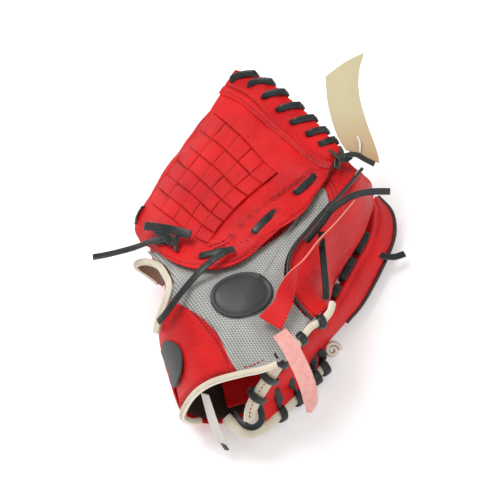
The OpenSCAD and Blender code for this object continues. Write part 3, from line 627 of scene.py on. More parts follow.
def strap_mesh(line, width, height, face=None, count=60, power=3.2, sides=20, bumpy=0.0, seed=0, start=0,
               pale_half=0):
    """Vertices, faces, UV and raw-edge share of a flat or round strip along a smooth curve.

    A higher power gives squarer edges. pale_half keeps the raw edge to one half of the strip: 1 or -1.
    """
    t = np.linspace(0, 1, count)
    centre = along(line, t)
    travel = unit(np.gradient(centre, axis=0))
    if face is None:
        up = outward(centre)
    else:
        face = np.asarray(face, float)
        up = np.broadcast_to(face, centre.shape) if face.ndim == 1 else along(face, t)
    side = unit(np.cross(travel, up))
    up = np.cross(side, travel)
    width, height = profile(width, t), profile(height, t)
    length = length_of(centre)
    if bumpy:
        uneven = bumpy * wobble(length * t, seed)
        width, height = width * (1 + uneven), height * (1 + np.roll(uneven, 3))
    angle = np.linspace(0, 2 * np.pi, sides, endpoint=False) + np.pi / sides
    c, s = np.cos(angle), np.sin(angle)
    x = np.sign(c) * np.abs(c) ** (2 / power)
    y = np.sign(s) * np.abs(s) ** (2 / power)
    rings = centre[:, None] + side[:, None] * (width / 2)[:, None, None] * x[:, None] \
        + up[:, None] * (height / 2)[:, None, None] * y[:, None]
    uv = np.stack([(x * 0.5 + 0.5) * np.ones((count, 1)) * width[:, None],
                   t[:, None] * length * np.ones(sides)], -1).reshape(-1, 2)
    raw = np.clip((np.abs(x) - 0.93) / 0.05, 0, 1) * np.ones((count, 1))
    raw[[0, -1]] = 1
    if pale_half:
        raw = raw * (y * pale_half > 0)
    return rings.reshape(-1, 3), tube_faces(count, sides, start), uv, raw.ravel()


def straps(name, pieces, material, move, replaced=(), **defaults):
    """Several strips joined as one piece. Each is (line, width, height, options)."""
    verts, faces, uv, raw = [], [], [], []
    total = 0
    for line, width, height, options in pieces:
        strip = strap_mesh(line, width, height, start=total, **{**defaults, **options})
        total += len(strip[0])
        verts.append(strip[0])
        faces.extend(strip[1])
        uv.append(strip[2])
        raw.append(strip[3])
    return make(name, np.vstack(verts), faces, material, move, replaced, np.vstack(uv),
                raw=np.concatenate(raw))


# ---------- free lace ends ----------

ENDS = {  # its line, the way that its flat face looks, and the body that holds it
    "index": ([[-57, -33, 90], [-66, -31, 86], [-76, -30, 79], [-88, -31, 71], [-99, -32, 66],
               [-110, -33, 62], [-120, -34, 60]], [0, 0.3, 1], "thumb_side"),
    "mesh": ([[-12, -50, 110], [-20, -54, 111], [-34, -65, 110], [-44, -75, 106], [-54, -85, 99],
              [-63, -94, 90], [-69, -98, 82]], [-0.4, 0, 1], "thumb_side"),
    "thumb": ([[66, 30, 101], [74, 32, 102], [81, 33, 101], [88, 30, 99], [95, 27, 97]],
              [0, 0.5, 1], "thumb_side"),
    "strap": ([[42, -44, 109], [48, -37, 110], [55, -28, 111], [62, -18, 112], [74, -9, 112], [84, -4, 110],
               [94, -1, 107], [106, 1, 103]], [0.3, -0.6, 1], "thumb_side"),
    "hanging": ([[54, -34, 106], [54, -41, 103], [55, -52, 102], [56, -64, 98], [57, -74, 95], [57, -84, 92]],
                [0, -0.3, 1], "thumb_side"),
    "pinky": ([[86, -12, 16], [95, -13, 21], [104, -14, 19], [112, -13, 15], [120, -9, 12]],
              [0, 0, 1], "finger_side"),
}
for name, (line, face, body) in ENDS.items():
    lace = straps("lace_tail_" + name, [(line, LACE_W + 0.2, LACE_T, {"face": face})], BLACK, body,
                  ["lace_end_" + name], power=5, count=90, bumpy=0.04)

# ---------- web ----------

PER_SIDE = (110, 50, 100, 60)
RING_WIDTH = 20  # millimetres from the window to the outer edge, about
RING = steps(26, RING_WIDTH, 1.2)


def web_ring():
    """(u, v) over the front leather: from the window's edge to the outer edge, all the way round."""
    near_fold = FOLD + [0, 0.03]
    outer = [LOW_EDGE, [LOW_EDGE[-1], near_fold[4]], near_fold[::-1], [near_fold[0], LOW_EDGE[0]]]
    u, v = [], []
    for a, b, count in zip(WINDOW_EDGES, outer, PER_SIDE):
        t = np.arange(count) / count
        at, to = along(a, t), along(b, t)
        uv = mix(at[None], to[None], RING[:, None, None])
        u.append(uv[..., 0])
        v.append(uv[..., 1])
    return np.hstack(u), np.hstack(v)


web_rows = {
    "band_upper": line_on(WEB, [[0.411, 0.168], [0.49, 0.205], [0.568, 0.312], [0.70, 0.45], [0.809, 0.604]]),
    "band_lower": line_on(WEB, [[0.43, 0.15], [0.505, 0.188], [0.583, 0.295], [0.715, 0.435], [0.825, 0.59]]),
    "edge": line_on(WEB, LOW_EDGE[:-1] + [0.01, 0.03]),
}
THUMB_HOLES = [[0.365, 0.1], [0.495, 0.125], [0.605, 0.17], [0.69, 0.275], [0.765, 0.38], [0.84, 0.52]]
INDEX_HOLES = [[0.1, 0.12], [0.2, 0.16]]
band_middle = line_on(WEB, [[0.3, 0.085], [0.43, 0.1], [0.545, 0.125], [0.65, 0.21], [0.765, 0.36],
                            [0.86, 0.5]])


def dimples(p, centres, depth, width=2.8):
    """Hollows that a lace pulls where it passes through leather, with painted shade in them."""
    height, shade = np.zeros(p.shape[:-1]), np.zeros(p.shape[:-1])
    for c in centres:
        pull = np.exp(-((np.linalg.norm(p - c, axis=-1) / width) ** 2))
        height, shade = height - depth * pull, np.maximum(shade, 0.9 * pull**1.5)
    return height, shade


def web_relief(p, u, v):
    """Seams, the raised band of lace holes with their hollows, and a raw edge at the lower right corner."""
    height, shade = sewn(p, list(web_rows.values()), 0.55, 1.0)
    height = height + waves(p, 46, 1.0, 3) + waves(p, 17, 0.3, 4)
    d, _ = distance(p, band_middle)
    height = height + 1.1 * np.exp(-((d / 6.5) ** 4))
    spots = [surface(WEB, *h)[0] for h in THUMB_HOLES + INDEX_HOLES]
    hollows, hollow_shade = dimples(p, spots, 1.4)
    corner = np.clip((u - 0.93) / 0.03, 0, 1) * np.clip((u - 0.955) / 0.02, 0, 1)
    raw = corner * 0.8 * np.clip(1 - v / 0.02, 0, 1)
    # The shade returned is painted shade in the seams' grooves and round the lace holes.
    return height + hollows, np.maximum(shade, hollow_shade), raw


sheet("web_front_leather", WEB, LEATHER, RED, "flap", ["web_front_panel"], relief=web_relief,
      loop=(*web_ring(), patch_size(WEB, (0, 1, 0, 1))))
for name, row in web_rows.items():
    thread("stitching_web_" + name, [row], "flap")

WEB_BACK = -4.3  # level of the leather behind the weave


def web_back_relief(p, u, v):
    height, shade = sewn(p, [line_on(WEB, [[0.04, 0.9], [0.5, 0.8], [0.94, 0.6]], WEB_BACK)], 0.3)
    return height + waves(p, 40, 0.6, 5), shade, 0


back_edges = between([[0.02, 0.07], [0.3, 0.08], [0.58, 0.13], [0.76, 0.2], [0.94, 0.19]],
                     [[0.02, 0.95], [0.94, 0.95]])
sheet("web_back_leather", WEB, LEATHER * 0.75, RED, "flap", ["web_back_panel"], level=WEB_BACK,
      edges=back_edges, size=(130, 90), n=(60, 50), relief=web_back_relief)

STRAP_GAP = 0.012  # share of a woven strap's width that is left free along each side
WOVEN_W, WOVEN_EDGE = 14, 0.7


def woven_strap(k, n, crossed, long_way):
    """One strap of the basket: over and under the straps that cross it, with nearly flush blocks."""
    ends, sharp = 0.012, 4.5  # how far it runs on past the window, and how steeply it rises and falls
    t, s = steps(crossed * 18, 90, 1.0), steps(14, WOVEN_W, WOVEN_EDGE)
    place = mix((k + STRAP_GAP) / n, (k + 1 - STRAP_GAP) / n, s)
    if long_way:
        across, run = np.meshgrid(place, mix(-ends, 1 + ends, t))
        side = np.broadcast_to(s[None, :], run.shape)
        uv = stretch(BASKET, across, run)
    else:
        run, across = np.meshgrid(mix(-ends, 1 + ends, t), place)
        side = np.broadcast_to(s[:, None], run.shape)
        uv = stretch(BASKET, run, across)
    over = np.tanh(sharp * np.cos(np.pi * (run * crossed - 0.5 + k + long_way))) / math.tanh(sharp)
    tuck_in = -1.2 * np.clip((np.abs(run - 0.5) - 0.5) / ends + 0.35, 0, 1)
    level = over * (WEAVE_T / 2 + 0.05)
    p, way = surface(WEB, uv[..., 0], uv[..., 1], level)
    low, high = side * WOVEN_W, (1 - side) * WOVEN_W
    near = np.minimum(low, high)
    roll = rounding(near, WEAVE_T, WOVEN_EDGE)
    pillow = 0.55 * np.clip(over, 0, 1) * (1 - (1 - np.clip(near / 4, 0, 1)) ** 2)
    height = pillow + tuck_in + waves(p, 16, 0.2, 20 + k + 10 * long_way)
    outer = p + way * (height - roll)[..., None]
    inner = p + way * (height * 0.5 + roll - WEAVE_T)[..., None]
    verts, faces, inside = shell(outer, inner)
    # Painted shadow: dark lines along each strap's sides, strong on one side and faint on the other, and
    # painted shade where it runs under.
    strong = np.clip(1.1 - low / 0.9, 0, 1)
    weak = np.clip(1.1 - high / 0.9, 0, 1) * (0.35 if long_way else 0.9)
    shade = np.maximum(strong, weak) + 0.5 * np.clip(-over, 0, 1)
    return verts, facing_out(faces, outer, way), np.clip(both_faces(shade, inside), 0, 1)


for name, node, n, crossed, long_way in (
        ("web_straps_long", "web_weave_long", LONG_STRAPS, CROSS_STRAPS, True),
        ("web_straps_cross", "web_weave_cross", CROSS_STRAPS, LONG_STRAPS, False)):
    verts, faces, shades = zip(*[woven_strap(k, n, crossed, long_way) for k in range(n)])
    starts = np.cumsum([0] + [len(v) for v in verts])
    faces = np.vstack([grid + start for grid, start in zip(faces, starts)])
    make(name, np.vstack(verts), faces, RED, "flap", [node], shade=np.concatenate(shades))

# The band that is folded over the web's top edge, and the lace that whips it
TOP_HOLES = np.array([[0.05, 0.952], [0.209, 0.945], [0.359, 0.922], [0.49, 0.905], [0.606, 0.88],
                      [0.724, 0.865], [0.825, 0.847]])
TOP_CROSSINGS = [0.2, 0.36, 0.49, 0.62, 0.73, 0.83, 0.905]
TURN = 3.6  # half the thickness of the folded edge
BAND_LENGTH, BAND_DEPTH, BAND_T, BAND_LEVEL = 150, 22, 2.2, 1.2


def fold_rows():
    """Two rows of stitches just above the fold."""
    return [line_on(WEB, [q + [0.0, up] for q in FOLD], BAND_LEVEL) for up in (0.012, 0.04)]


def band_place(s, t):
    """(u, v, level) of the folded band: t is 0 at the fold, 1 at the edge, 2 once round it and 2.5 behind."""
    low = along(FOLD, s)
    rise = np.minimum(t, 1)
    turn = np.clip(t - 1, 0, 1) * np.pi
    u = mix(low[:, 0], mix(0.01, 0.985, s), rise)
    v = mix(low[:, 1], 0.985, rise) + 0.022 * np.sin(turn) - 0.12 * np.clip(t - 2, 0, 1)
    return u, v, BAND_LEVEL - TURN * (1 - np.cos(turn))


def band_relief(p, t):
    """Seams and hollows on the band's front, a ridge along the fold, and the pinch of each lace."""
    groove, shade = sewn(p, fold_rows(), 0.6, 1.0)
    front = np.clip(1.2 - t, 0, 1) > 0.05
    spots = [surface(WEB, *hole, BAND_LEVEL)[0] for hole in TOP_HOLES]
    hollows, hollow_shade = dimples(p, spots, 1.3)
    ridge = 1.5 * np.exp(-(((t - 0.13) / 0.14) ** 2)) * (t < 1.0)
    pinch = 0
    for x in TOP_CROSSINGS:
        at = surface(WEB, x, 0.99, 0)[0]
        pinch = pinch - 1.3 * np.exp(-((np.linalg.norm(p - at, axis=-1) / 5) ** 2))
    height = np.where(front, groove + hollows, 0) + waves(p, 30, 0.5, 7) + ridge * front + pinch
    # The shade returned is painted shade in the seams' grooves and round the lace holes, on the front only.
    return height, np.where(front, np.maximum(shade, hollow_shade), 0)


def top_band():
    s = steps(150, BAND_LENGTH, 1.2)
    t = np.concatenate([np.linspace(0, 0.08, 8), np.linspace(0.1, 1, 26), 1 + np.linspace(0.06, 1, 18),
                        np.linspace(2.08, 2.5, 8)])[:, None]
    u, v, level = band_place(s, t)
    p, way = surface(WEB, u, v, level)
    height, dark = band_relief(p, t)
    far = np.minimum(np.minimum(s, 1 - s) * BAND_LENGTH, np.minimum(t, 2.5 - t) * BAND_DEPTH)
    roll = rounding(far, BAND_T, 1.2)
    normal = unit(np.cross(np.gradient(p, axis=0), np.gradient(p, axis=1)))
    if (normal[:30] * way[:30]).sum() < 0:
        normal = -normal
    outer = p + normal * (height - roll)[..., None]
    inner = p + normal * (roll - BAND_T)[..., None]
    verts, faces, inside = shell(outer, inner)
    uv = np.stack(np.broadcast_arrays(u * BAND_LENGTH, t * BAND_DEPTH), -1)
    make("web_top_band_leather", verts, facing_out(faces, outer, normal), RED, "flap", ["web_top_band"],
         np.vstack([uv.reshape(-1, 2), uv[inside].reshape(-1, 2)]), shade=both_faces(dark, inside))


top_band()
for k, row in enumerate(fold_rows()):
    thread(f"stitching_fold_{k + 1}", [row], "flap", lift=0.9)


def whip(hole, crossing):
    """Lace from its hole over the web's top edge and down the back."""
    over = np.array([crossing, 0.99])
    front = [(-0.02, -0.6), (0.03, 2.0), (0.14, 3.3), (0.4, 3.7), (0.7, 3.6), (0.93, 3.1)]
    route = [surface(WEB, *mix(hole, over, t), h)[0] for t, h in front]
    edge = surface(WEB, *over, 2)[0]
    return route + [edge + [1.6, 0.5, -1.2], edge + [2.2, 0.8, -4], surface(WEB, *over, -6.5)[0],
                    surface(WEB, *mix(hole, over, 0.9), -7.4)[0]]


WHIP_FACES = [[0, -0.4, 0.9]] * 6 + [[0.6, 0.4, 0.5], [0.9, 0.4, 0], [0.5, 0.3, -0.8], [0, 0.4, -0.9]]
whips = [(whip(hole, crossing), LACE_W + 0.4, LACE_T, {"seed": k})
         for k, (hole, crossing) in enumerate(zip(TOP_HOLES, TOP_CROSSINGS))]
straps("web_top_whip_lace", whips, BLACK, "flap", ["web_top_lace"], face=WHIP_FACES, count=44, bumpy=0.05)


def dash(a, b, lift=1.8):
    """A lace that comes up at (u, v) a, runs over the leather and goes down at b."""
    a, b = np.array(a), np.array(b)
    at = [(0, -1.6), (0.04, 0.6), (0.14, lift), (0.35, lift + 0.5), (0.65, lift + 0.5), (0.86, lift),
          (0.96, 0.6), (1, -1.6)]
    return [surface(WEB, *mix(a, b, t), h)[0] for t, h in at]


DASH_WIDTHS = (5.6, 5.8, 5.8)
thumb_dashes = [(dash(*THUMB_HOLES[2 * k:2 * k + 2]), width, LACE_T, {"seed": k + 1})
                for k, width in enumerate(DASH_WIDTHS)]
straps("web_thumb_dashes", thumb_dashes, BLACK, "flap", ["web_thumb_lace"], count=50, bumpy=0.05)
straps("web_index_dashes", [(dash([0.014, 0.2], [0.014, 0.3], 0.6), 4.4, LACE_T, {}),
                            (dash(*INDEX_HOLES, 1.6), 5, LACE_T, {})], BLACK, "flap",
       ["web_index_lace"], count=40, bumpy=0.05)
knot_bar = [[-80, -19, 84], [-70, -24, 92], [-58, -29, 98], [-45, -35, 102]]
knot_turn = [[-72, -24, 87], [-66, -30, 91], [-61, -36, 93], [-56, -37, 94], [-54, -31, 96]]
knot_end = [[-66, -24, 91], [-62, -32, 94], [-57, -38, 94], [-56, -43, 91]]
straps("web_knot_lace", [(knot_bar, LACE_W + 1.6, LACE_T, {"power": 5}), (knot_turn, 5.5, LACE_T, {}),
                         (knot_end, 5, LACE_T, {})], BLACK, "flap", ["web_knot"], count=40, bumpy=0.04)

# ---------- thumb side ----------


def knit_relief(p, u, v):
    """Uneven knit, with a painted shadow along the web's lower edge, which lies on it."""
    height = waves(p, 50, 1.0, 11) + waves(p, 22, 0.3, 12)
    d, _ = distance(p, line_on(WEB, LOW_EDGE, -1.5))
    shade = 0.55 * np.exp(-((d / 3) ** 2))
    return height, shade, 0


TIP_EDGE = np.array([[0.35, 0.95], [0.55, 0.92], [0.72, 0.875], [0.88, 0.825], [1, 0.77]])
mesh_edges = between([[0.012, 0.004], [0.995, 0.004]], [[0.012, 0.96], *TIP_EDGE[:-1], [0.995, 0.77]])
sheet("thumb_air_mesh", THUMB, MESH, KNIT, "flap", ["thumb_mesh"], edges=mesh_edges, size=(110, 90),
      n=(110, 90), relief=knit_relief, plan=True)
dash_row = [line_on(THUMB, [[0.6, 0.035], [0.72, 0.035]], 0.2)]
thread("stitching_mesh_edge", dash_row, "thumb_side", radius=0.55, length=3)

tip_rows = [line_on(THUMB, TIP_EDGE + [0, up], 0.5) for up in (0.022, 0.045)]


def tip_relief(p, u, v):
    height, shade = sewn(p, tip_rows, 0.5)
    return height + waves(p, 24, 0.6, 13), shade, 0


tip_edges = between(TIP_EDGE, [[0.35, 0.99], [1, 0.99]])
sheet("thumb_tip_leather", THUMB, LEATHER, RED, "flap", ["thumb_tip_back"], level=0.5, edges=tip_edges,
      size=(70, 30), n=(60, 36), relief=tip_relief)
thread("stitching_thumb_tip", tip_rows, "flap")


def crumpled(seed, size=26, height=0.9):
    """The relief of plain leather or cloth, in two sizes of seeded waves."""
    return lambda p, u, v: (waves(p, size, height, seed) + waves(p, size * 0.4, height * 0.3, seed + 1), 0, 0)


def palm_relief(p, u, v):
    """Slanting folds over the thumb's palm, and the seam beside its welting."""
    rim = line_on(PALM, [[0.045, 0.02], [0.045, 0.98]])
    height, shade = sewn(p, [rim], 0.5)
    folds = 0.9 * np.sin(u * 9 + 2.2 * v + 0.8 * np.sin(v * 7)) * np.sin(np.pi * u) * np.sin(np.pi * v)
    return height + folds + waves(p, 30, 1.0, 17), shade, 0


sheet("thumb_palm_leather", PALM, LEATHER, RED, "thumb_side", ["thumb_palm"], n=(50, 90), relief=palm_relief)
sheet("thumb_underside_leather", UNDER, LEATHER, RED, "thumb_side", ["thumb_underside"], n=(40, 50),
      relief=crumpled(19))
sheet("thumb_lining_cloth", THUMB, LINING, LINER, "flap", ["thumb_lining"], level=-MESH - 0.6,
      span=(0.06, 0.9, 0.06, 0.8), n=(40, 36), relief=crumpled(21, 30, 0.3))
pad = sheet("thumb_felt_pad", THUMB, PAD, FELT, "thumb_side", ["thumb_pad"], level=-MESH - LINING - 1.6,
            span=(0.5, 0.88, 0.08, 0.5), n=(30, 30), edge=2.5)
LOOP_W, LOOP_T = 9, 1.8
thumb_loop = [[4, -62, 86], [-2, -58, 76], [8, -54, 68], [20, -50, 68], [29, -46, 76], [27, -42, 86]]
straps("thumb_inner_loop", [(thumb_loop, LOOP_W, LOOP_T, {"face": [0, 1, 0.2]})], WEBBING, "thumb_side",
       ["thumb_loop"])
welt = np.array(welt_line, float)
welt += outward(welt) * 0.4 + [1.4, 0, 0]
straps("thumb_welt", [(welt, WELT + 0.3, WELT + 0.3, {})], WELTING, "thumb_side", ["thumb_welting"],
       count=160, power=2.2, bumpy=0.05)
tip_bar = [[62, 38, 97], [66, 32, 101], [72, 29, 102.5], [77, 33, 100]]
tip_turn = [[70, 42, 93], [70, 36, 97], [67, 30, 99], [66, 22, 99]]
straps("thumb_tip_knot", [(tip_bar, 6, 2.4, {"seed": 1}), (tip_turn, 6.4, 2, {"seed": 2})], BLACK,
       "thumb_side", ["thumb_knot"], count=36, bumpy=0.06)


def strap_rows():
    """The double seam where the wrist strap meets the mesh, and the one beside its binding."""
    return [line_on(STRAP, [[0.955, 0.03], [0.955, 0.97]]),
            line_on(STRAP, [[0.90, 0.03], [0.90, 0.97]]),
            line_on(STRAP, [[0.04, 0.045], [0.5, 0.045], [0.95, 0.045]])]


def strap_relief(p, u, v):
    """The seams, and a ridge under the double one."""
    height, shade = sewn(p, strap_rows(), 0.5)
    return height + waves(p, 34, 0.9, 23) + 0.5 * np.exp(-(((u - 0.94) / 0.05) ** 2)), shade, 0


sheet("wrist_strap_leather", STRAP, LEATHER, RED, "wrist", ["wrist_strap"], span=(0.01, 0.985, 0.02, 0.985),
      n=(80, 70), relief=strap_relief)
thread("stitching_wrist_strap", strap_rows(), "wrist")
label_low, label_high = [[0.01, 0.3], [0.05, 0.24], [0.13, 0.23]], [[0.01, 0.74], [0.18, 0.72], [0.35, 0.64]]
label_end = [[0.13, 0.23], [0.32, 0.28], [0.44, 0.42], [0.44, 0.55], [0.35, 0.64]]
label_edges = [label_low, label_high, [label_low[0], label_high[0]], label_end]
sheet("wrist_label", STRAP, 1, PATCH, "wrist", ["strap_label"], level=1.5, edges=label_edges, n=(30, 30),
      edge=0.8, relief=lambda p, u, v: (waves(p, 30, 0.2, 25), 0, 0), size=(24, 26))
edge_line = [[-38, -153, 27], [-45, -156, 33], [-51, -154, 41], *strap_low[1:], [8, -141, 97], [20, -137, 98]]
straps("wrist_edge_binding", [(np.array(edge_line) + [0, -2.6, -0.4], BINDING + 0.4, BINDING, {})], CREAM,
       "wrist", ["wrist_binding"], count=130, power=2.3, bumpy=0.035)
curl = opening_line + [[-87, -36, 47], [-84, -38.5, 44.5], [-78.5, -43, 44.5], [-71, -51, 48]]
taper = np.array([1] * 8 + [0.8, 0.5, 0.42, 0.4]) * (BINDING + 0.3)
straps("back_opening_roll", [(curl, taper, taper, {})], CREAM, "flap", ["back_opening_binding"], count=120,
       power=2.3, bumpy=0.04)
hollow = (between([[-86, -37.5, 45], [-78.5, -43, 44.5], [-67, -54, 49]],
                  [[-86, -34, 54], [-74, -42, 66], [-64, -57, 77]]), -2, [-0.6, -0.5, 0.6])
sheet("back_opening_lining", hollow, LINING, LINER, "flap", span=(0, 1, 0, 1), n=(24, 16),
      relief=crumpled(27, 20, 0.4))


def under_point(x, y):
    """(u, v) of the thumb's patch under points of the plan, by Newton's method from the oval's middle."""
    u, v = np.full(np.shape(x), 0.6), np.full(np.shape(x), 0.43)
    step, rounds, longest = 0.01, 14, 0.08
    for _ in range(rounds):
        p = surface(THUMB, u, v)[0]
        pu = (surface(THUMB, u + step, v)[0] - p) / step
        pv = (surface(THUMB, u, v + step)[0] - p) / step
        dx, dy = x - p[..., 0], y - p[..., 1]
        det = pu[..., 0] * pv[..., 1] - pu[..., 1] * pv[..., 0]
        du = (dx * pv[..., 1] - dy * pv[..., 0]) / det
        dv = (pu[..., 0] * dy - pu[..., 1] * dx) / det
        cap = np.minimum(1, longest / np.maximum(np.hypot(du, dv), 1e-4))
        u, v = u + du * cap, v + dv * cap
    return u, v


def oval():
    """Raised oval patch: a flat field, a groove and a rounded rim, as (share of the radius, level)."""
    centre, tilt, wide, high = (-6, -86), math.radians(23), 47, 37
    section = [(0.02, 2.1), (0.25, 2.15), (0.5, 2.15), (0.7, 2.1), (0.8, 2.0), (0.83, 1.75), (0.86, 2.3),
               (0.89, 2.75), (0.93, 2.9), (0.97, 2.6), (1.0, 1.9), (1.005, 1.0), (0.99, 0.3), (0.7, 0.3),
               (0.02, 0.3)]
    angle = np.linspace(0, 2 * np.pi, 120, endpoint=False)
    share, level = np.array(section).T[..., None]
    x, y = share * np.cos(angle) * wide / 2, share * np.sin(angle) * high / 2
    u, v = under_point(centre[0] + x * math.cos(tilt) - y * math.sin(tilt),
                       centre[1] + x * math.sin(tilt) + y * math.cos(tilt))
    p, way = surface(THUMB, u, v, level)
    p = p + way * waves(p, 50, 1.0, 11)[..., None]
    faces = [face[::-1] for face in tube_faces(*p.shape[:2])]
    # Painted shade in the groove inside the rim.
    shade = np.broadcast_to((np.abs(share - 0.83) < 0.02) * 0.8, p.shape[:2])
    make("oval_patch_rubber", p.reshape(-1, 3), faces, PATCH, "thumb_side", ["oval_patch"],
         shade=shade.ravel())


oval()

HEEL_THUMB = [[62, -87, 92], [60, -95, 94], [54, -103, 95], [46, -108, 96], [39, -117, 96], [34, -126, 96]]
HEEL_ARM = [[24, -132, 95], [20, -137, 88], [14, -142, 76], [6, -150, 64], [1, -157, 54], [0, -163, 46]]
HEEL_LOW = [[-18, -158, 39], [-10, -166, 38], [-1, -167, 31], [11, -158, 20], [24, -142, 13], [37, -127, 9],
            [48, -113, 9], [57, -102, 9]]
ARM_FACE, LOW_FACE = [0.4, -0.5, 0.8], [0.3, -0.5, 0.8]
straps("thumb_heel_edge_binding", [(HEEL_THUMB, BINDING + 0.6, BINDING, {"count": 90, "power": 2.3})], CREAM,
       "thumb_side", ["thumb_heel_binding"], bumpy=0.04)
straps("heel_arm_edge_binding", [(HEEL_ARM, 10.4, 4.4, {"face": ARM_FACE, "count": 90, "power": 2.6})], CREAM,
       "thumb_side", ["heel_arm_binding"], bumpy=0.03)
arm_line = along(HEEL_ARM, np.linspace(0.02, 0.98, 120))
arm_side = unit(np.cross(np.gradient(arm_line, axis=0), unit(np.array(ARM_FACE))))
thread("stitching_heel_arm", [arm_line + arm_side * 1.6 + unit(np.array(ARM_FACE)) * 2.2], "thumb_side",
       way=ARM_FACE, lift=0.35, radius=0.5)


TOP = 90  # degrees round a binding where a wrap is on its face


def wrap(line, share, across, thick, face, width=6, ends=(-50, 230), slant=0.018):
    """A lace that goes round a binding at a share of its length, with its facing directions."""
    face = unit(np.asarray(face, float))
    p = along(line, share)
    travel = unit(along(line, min(share + 0.02, 1)) - along(line, max(share - 0.02, 0)))
    side = unit(np.cross(travel, face))
    up = np.cross(side, travel)
    angle = np.arange(ends[0], ends[1] + 1, 20)
    rad = np.radians(angle)[:, None]
    loop = p + side * across * np.cos(rad) + up * thick * np.sin(rad) + travel * (angle[:, None] - TOP) * slant
    return loop, width, LACE_T, {"face": loop - p, "count": 40}


ARM_END = [[-11.6, -154.7, 44], [-8.4, -160.2, 43], [-3, -166.4, 43], [3.1, -168, 44], [8.4, -164, 46],
           [8.5, -158, 50], [7, -153, 54]]
THUMB_WRAPS, ARM_WRAPS = (0.42, 0.82), (0.09, 0.38, 0.62)  # shares of the bindings' lengths
straps("heel_wraps_thumb", [wrap(HEEL_ARM, t, 7.4, 4.2, ARM_FACE, slant=0.034) for t in ARM_WRAPS]
       + [wrap(HEEL_THUMB, t, 4.4, 4.2, [0, 0, 1]) for t in THUMB_WRAPS]
       + [(ARM_END, [2, 4.5, 5, 5, 5, 5, 4], LACE_T, {"face": [0.1, -0.5, 0.85]})], BLACK, "thumb_side",
       ["heel_lace_thumb"], bumpy=0.06)
straps("heel_edge_binding", [(HEEL_LOW, 8.6, 6.2, {"face": LOW_FACE, "count": 140, "power": 2.4})], CREAM,
       "finger_side", ["heel_binding"], bumpy=0.04)


def laced(share, inside):
    """A lace that comes from inside the heel, crosses the lower binding and curls under it."""
    loop, width, thick, options = wrap(HEEL_LOW, share, 6.4, 5, LOW_FACE, 6.4, (-60, 140))
    face = np.vstack([options["face"], [[0, -0.4, 0.9]] * len(inside)])
    return np.vstack([loop, inside]), width, thick, {"face": face, "count": 70}


HEEL_LACES = ((0.56, [[22, -137, 25], [19, -133, 36]]), (0.7, [[32, -123.4, 24], [25.5, -121.5, 37]]),
              (0.88, [[48.5, -103, 20], [47.7, -96.5, 24]]), (0.985, [[56, -98, 18], [54, -95, 22]]))
straps("heel_wraps_pinky", [laced(share, inside) for share, inside in HEEL_LACES], BLACK, "finger_side",
       ["heel_lace_pinky"], bumpy=0.06)


def heel_roll():
    """The heel binding's end, rolled up: a strip along a spiral."""
    centre, tilt, wide, thick = [63.5, -90, 11], math.radians(25), 9.4, 4
    outside, inward, last = 5.9, 1 / 112, 470  # radius, its loss in each degree, and degrees of turn
    degrees = np.linspace(0, last, 40)
    angle = np.radians(degrees)
    radius = outside - degrees * inward
    across, up = radius * np.cos(angle), radius * np.sin(angle)
    line = np.stack([across, up * math.cos(tilt), up * math.sin(tilt)], 1)
    straps("heel_binding_roll", [(line + centre, wide, thick, {"face": line, "count": 90, "power": 2.3})],
           CREAM, "finger_side", ["heel_roll"], bumpy=0.05)


heel_roll()

# ---------- hook-and-loop strap, tag and label ----------

STRAP_LINE = [[78, -11, 108], [63, -32, 112], [51, -46, 113.5], [39, -63, 114], [31, -77, 114],
              [27, -88, 113.5], [24, -98, 113], [15, -113, 112.5]]
EDGE_ON = [0.66, -0.52, -0.24]
STRAP_FACES = [EDGE_ON] * 4 + [[0.6, -0.4, 0.4], [0.3, -0.1, 0.9], [0, 0, 1], [0, -0.2, 1]]
STRAP_WIDTHS = np.array([0.75, 1, 1, 1, 1, 1.05, 1.1, 1.5]) * STRAP_W
straps("closure_strap_leather", [(STRAP_LINE, STRAP_WIDTHS, 2.0, {"face": STRAP_FACES, "pale_half": -1})],
       RED, "thumb_side", ["closure_strap"], power=6, count=110, sides=28, bumpy=0.02)
TAIL = [[22, -122, 116], [29, -131.5, 115], [34, -141, 113], [39, -151, 110], [43, -161, 105], [45, -169, 98],
        [44, -175, 90]]
TAIL_WIDTHS = np.array([0.9, 1, 1, 1, 0.95, 0.85, 0.3]) * STRAP_W
tail = straps("closure_tail_tape", [(TAIL, TAIL_WIDTHS, 1.6, {"face": [0.1, -0.15, 1]})], TAPE, "strap_tail",
              ["closure_tail"], power=8, count=110, sides=28, bumpy=0.02)

tag_low = [[73, 43, 90], [84, 39, 88], [99, 33, 87]]
tag_high = [[58, 103, 96], [73, 113, 99], [88, 121, 101]]
tag_left = [[73, 43, 90], [66, 57, 91], [60, 80, 93], [58, 103, 96]]
tag_right = [[99, 33, 87], [97, 42, 91], [89, 65, 96], [84, 86, 99], [84, 104, 101], [88, 121, 101]]
tag_patch = ([tag_low, tag_high, tag_left, tag_right], 0, [0, 0, 1])
sheet("hang_tag_card", tag_patch, 0.8, CARD, "tag", ["hang_tag"], span=(0, 1, 0, 1), n=(30, 50), edge=0.4,
      relief=lambda p, u, v: (1.6 * np.sin(np.pi * u) + waves(p, 60, 0.5, 31), 0, 0))
straps("tag_loop", [([[84, 40, 91], [84, 46, 95], [82, 50, 98]], 1.5, 1.5, {"power": 2, "count": 30})],
       CLEAR, "tag", ["tag_fastener"])
CARE = [[-34, -150, 66], [-31, -156, 54], [-28, -162, 42], [-24, -168, 30], [-20, -172, 20]]
CARE_WIDTHS, CARE_FACE = [7.5, 8.6, 9.8, 10.9, 12], [-0.6, -0.8, 0.3]
care = straps("care_label_ribbon", [(CARE, CARE_WIDTHS, 0.7, {"face": CARE_FACE})], LABEL, "thumb_side",
              ["care_label"], power=8, count=90, sides=28, bumpy=0.02)
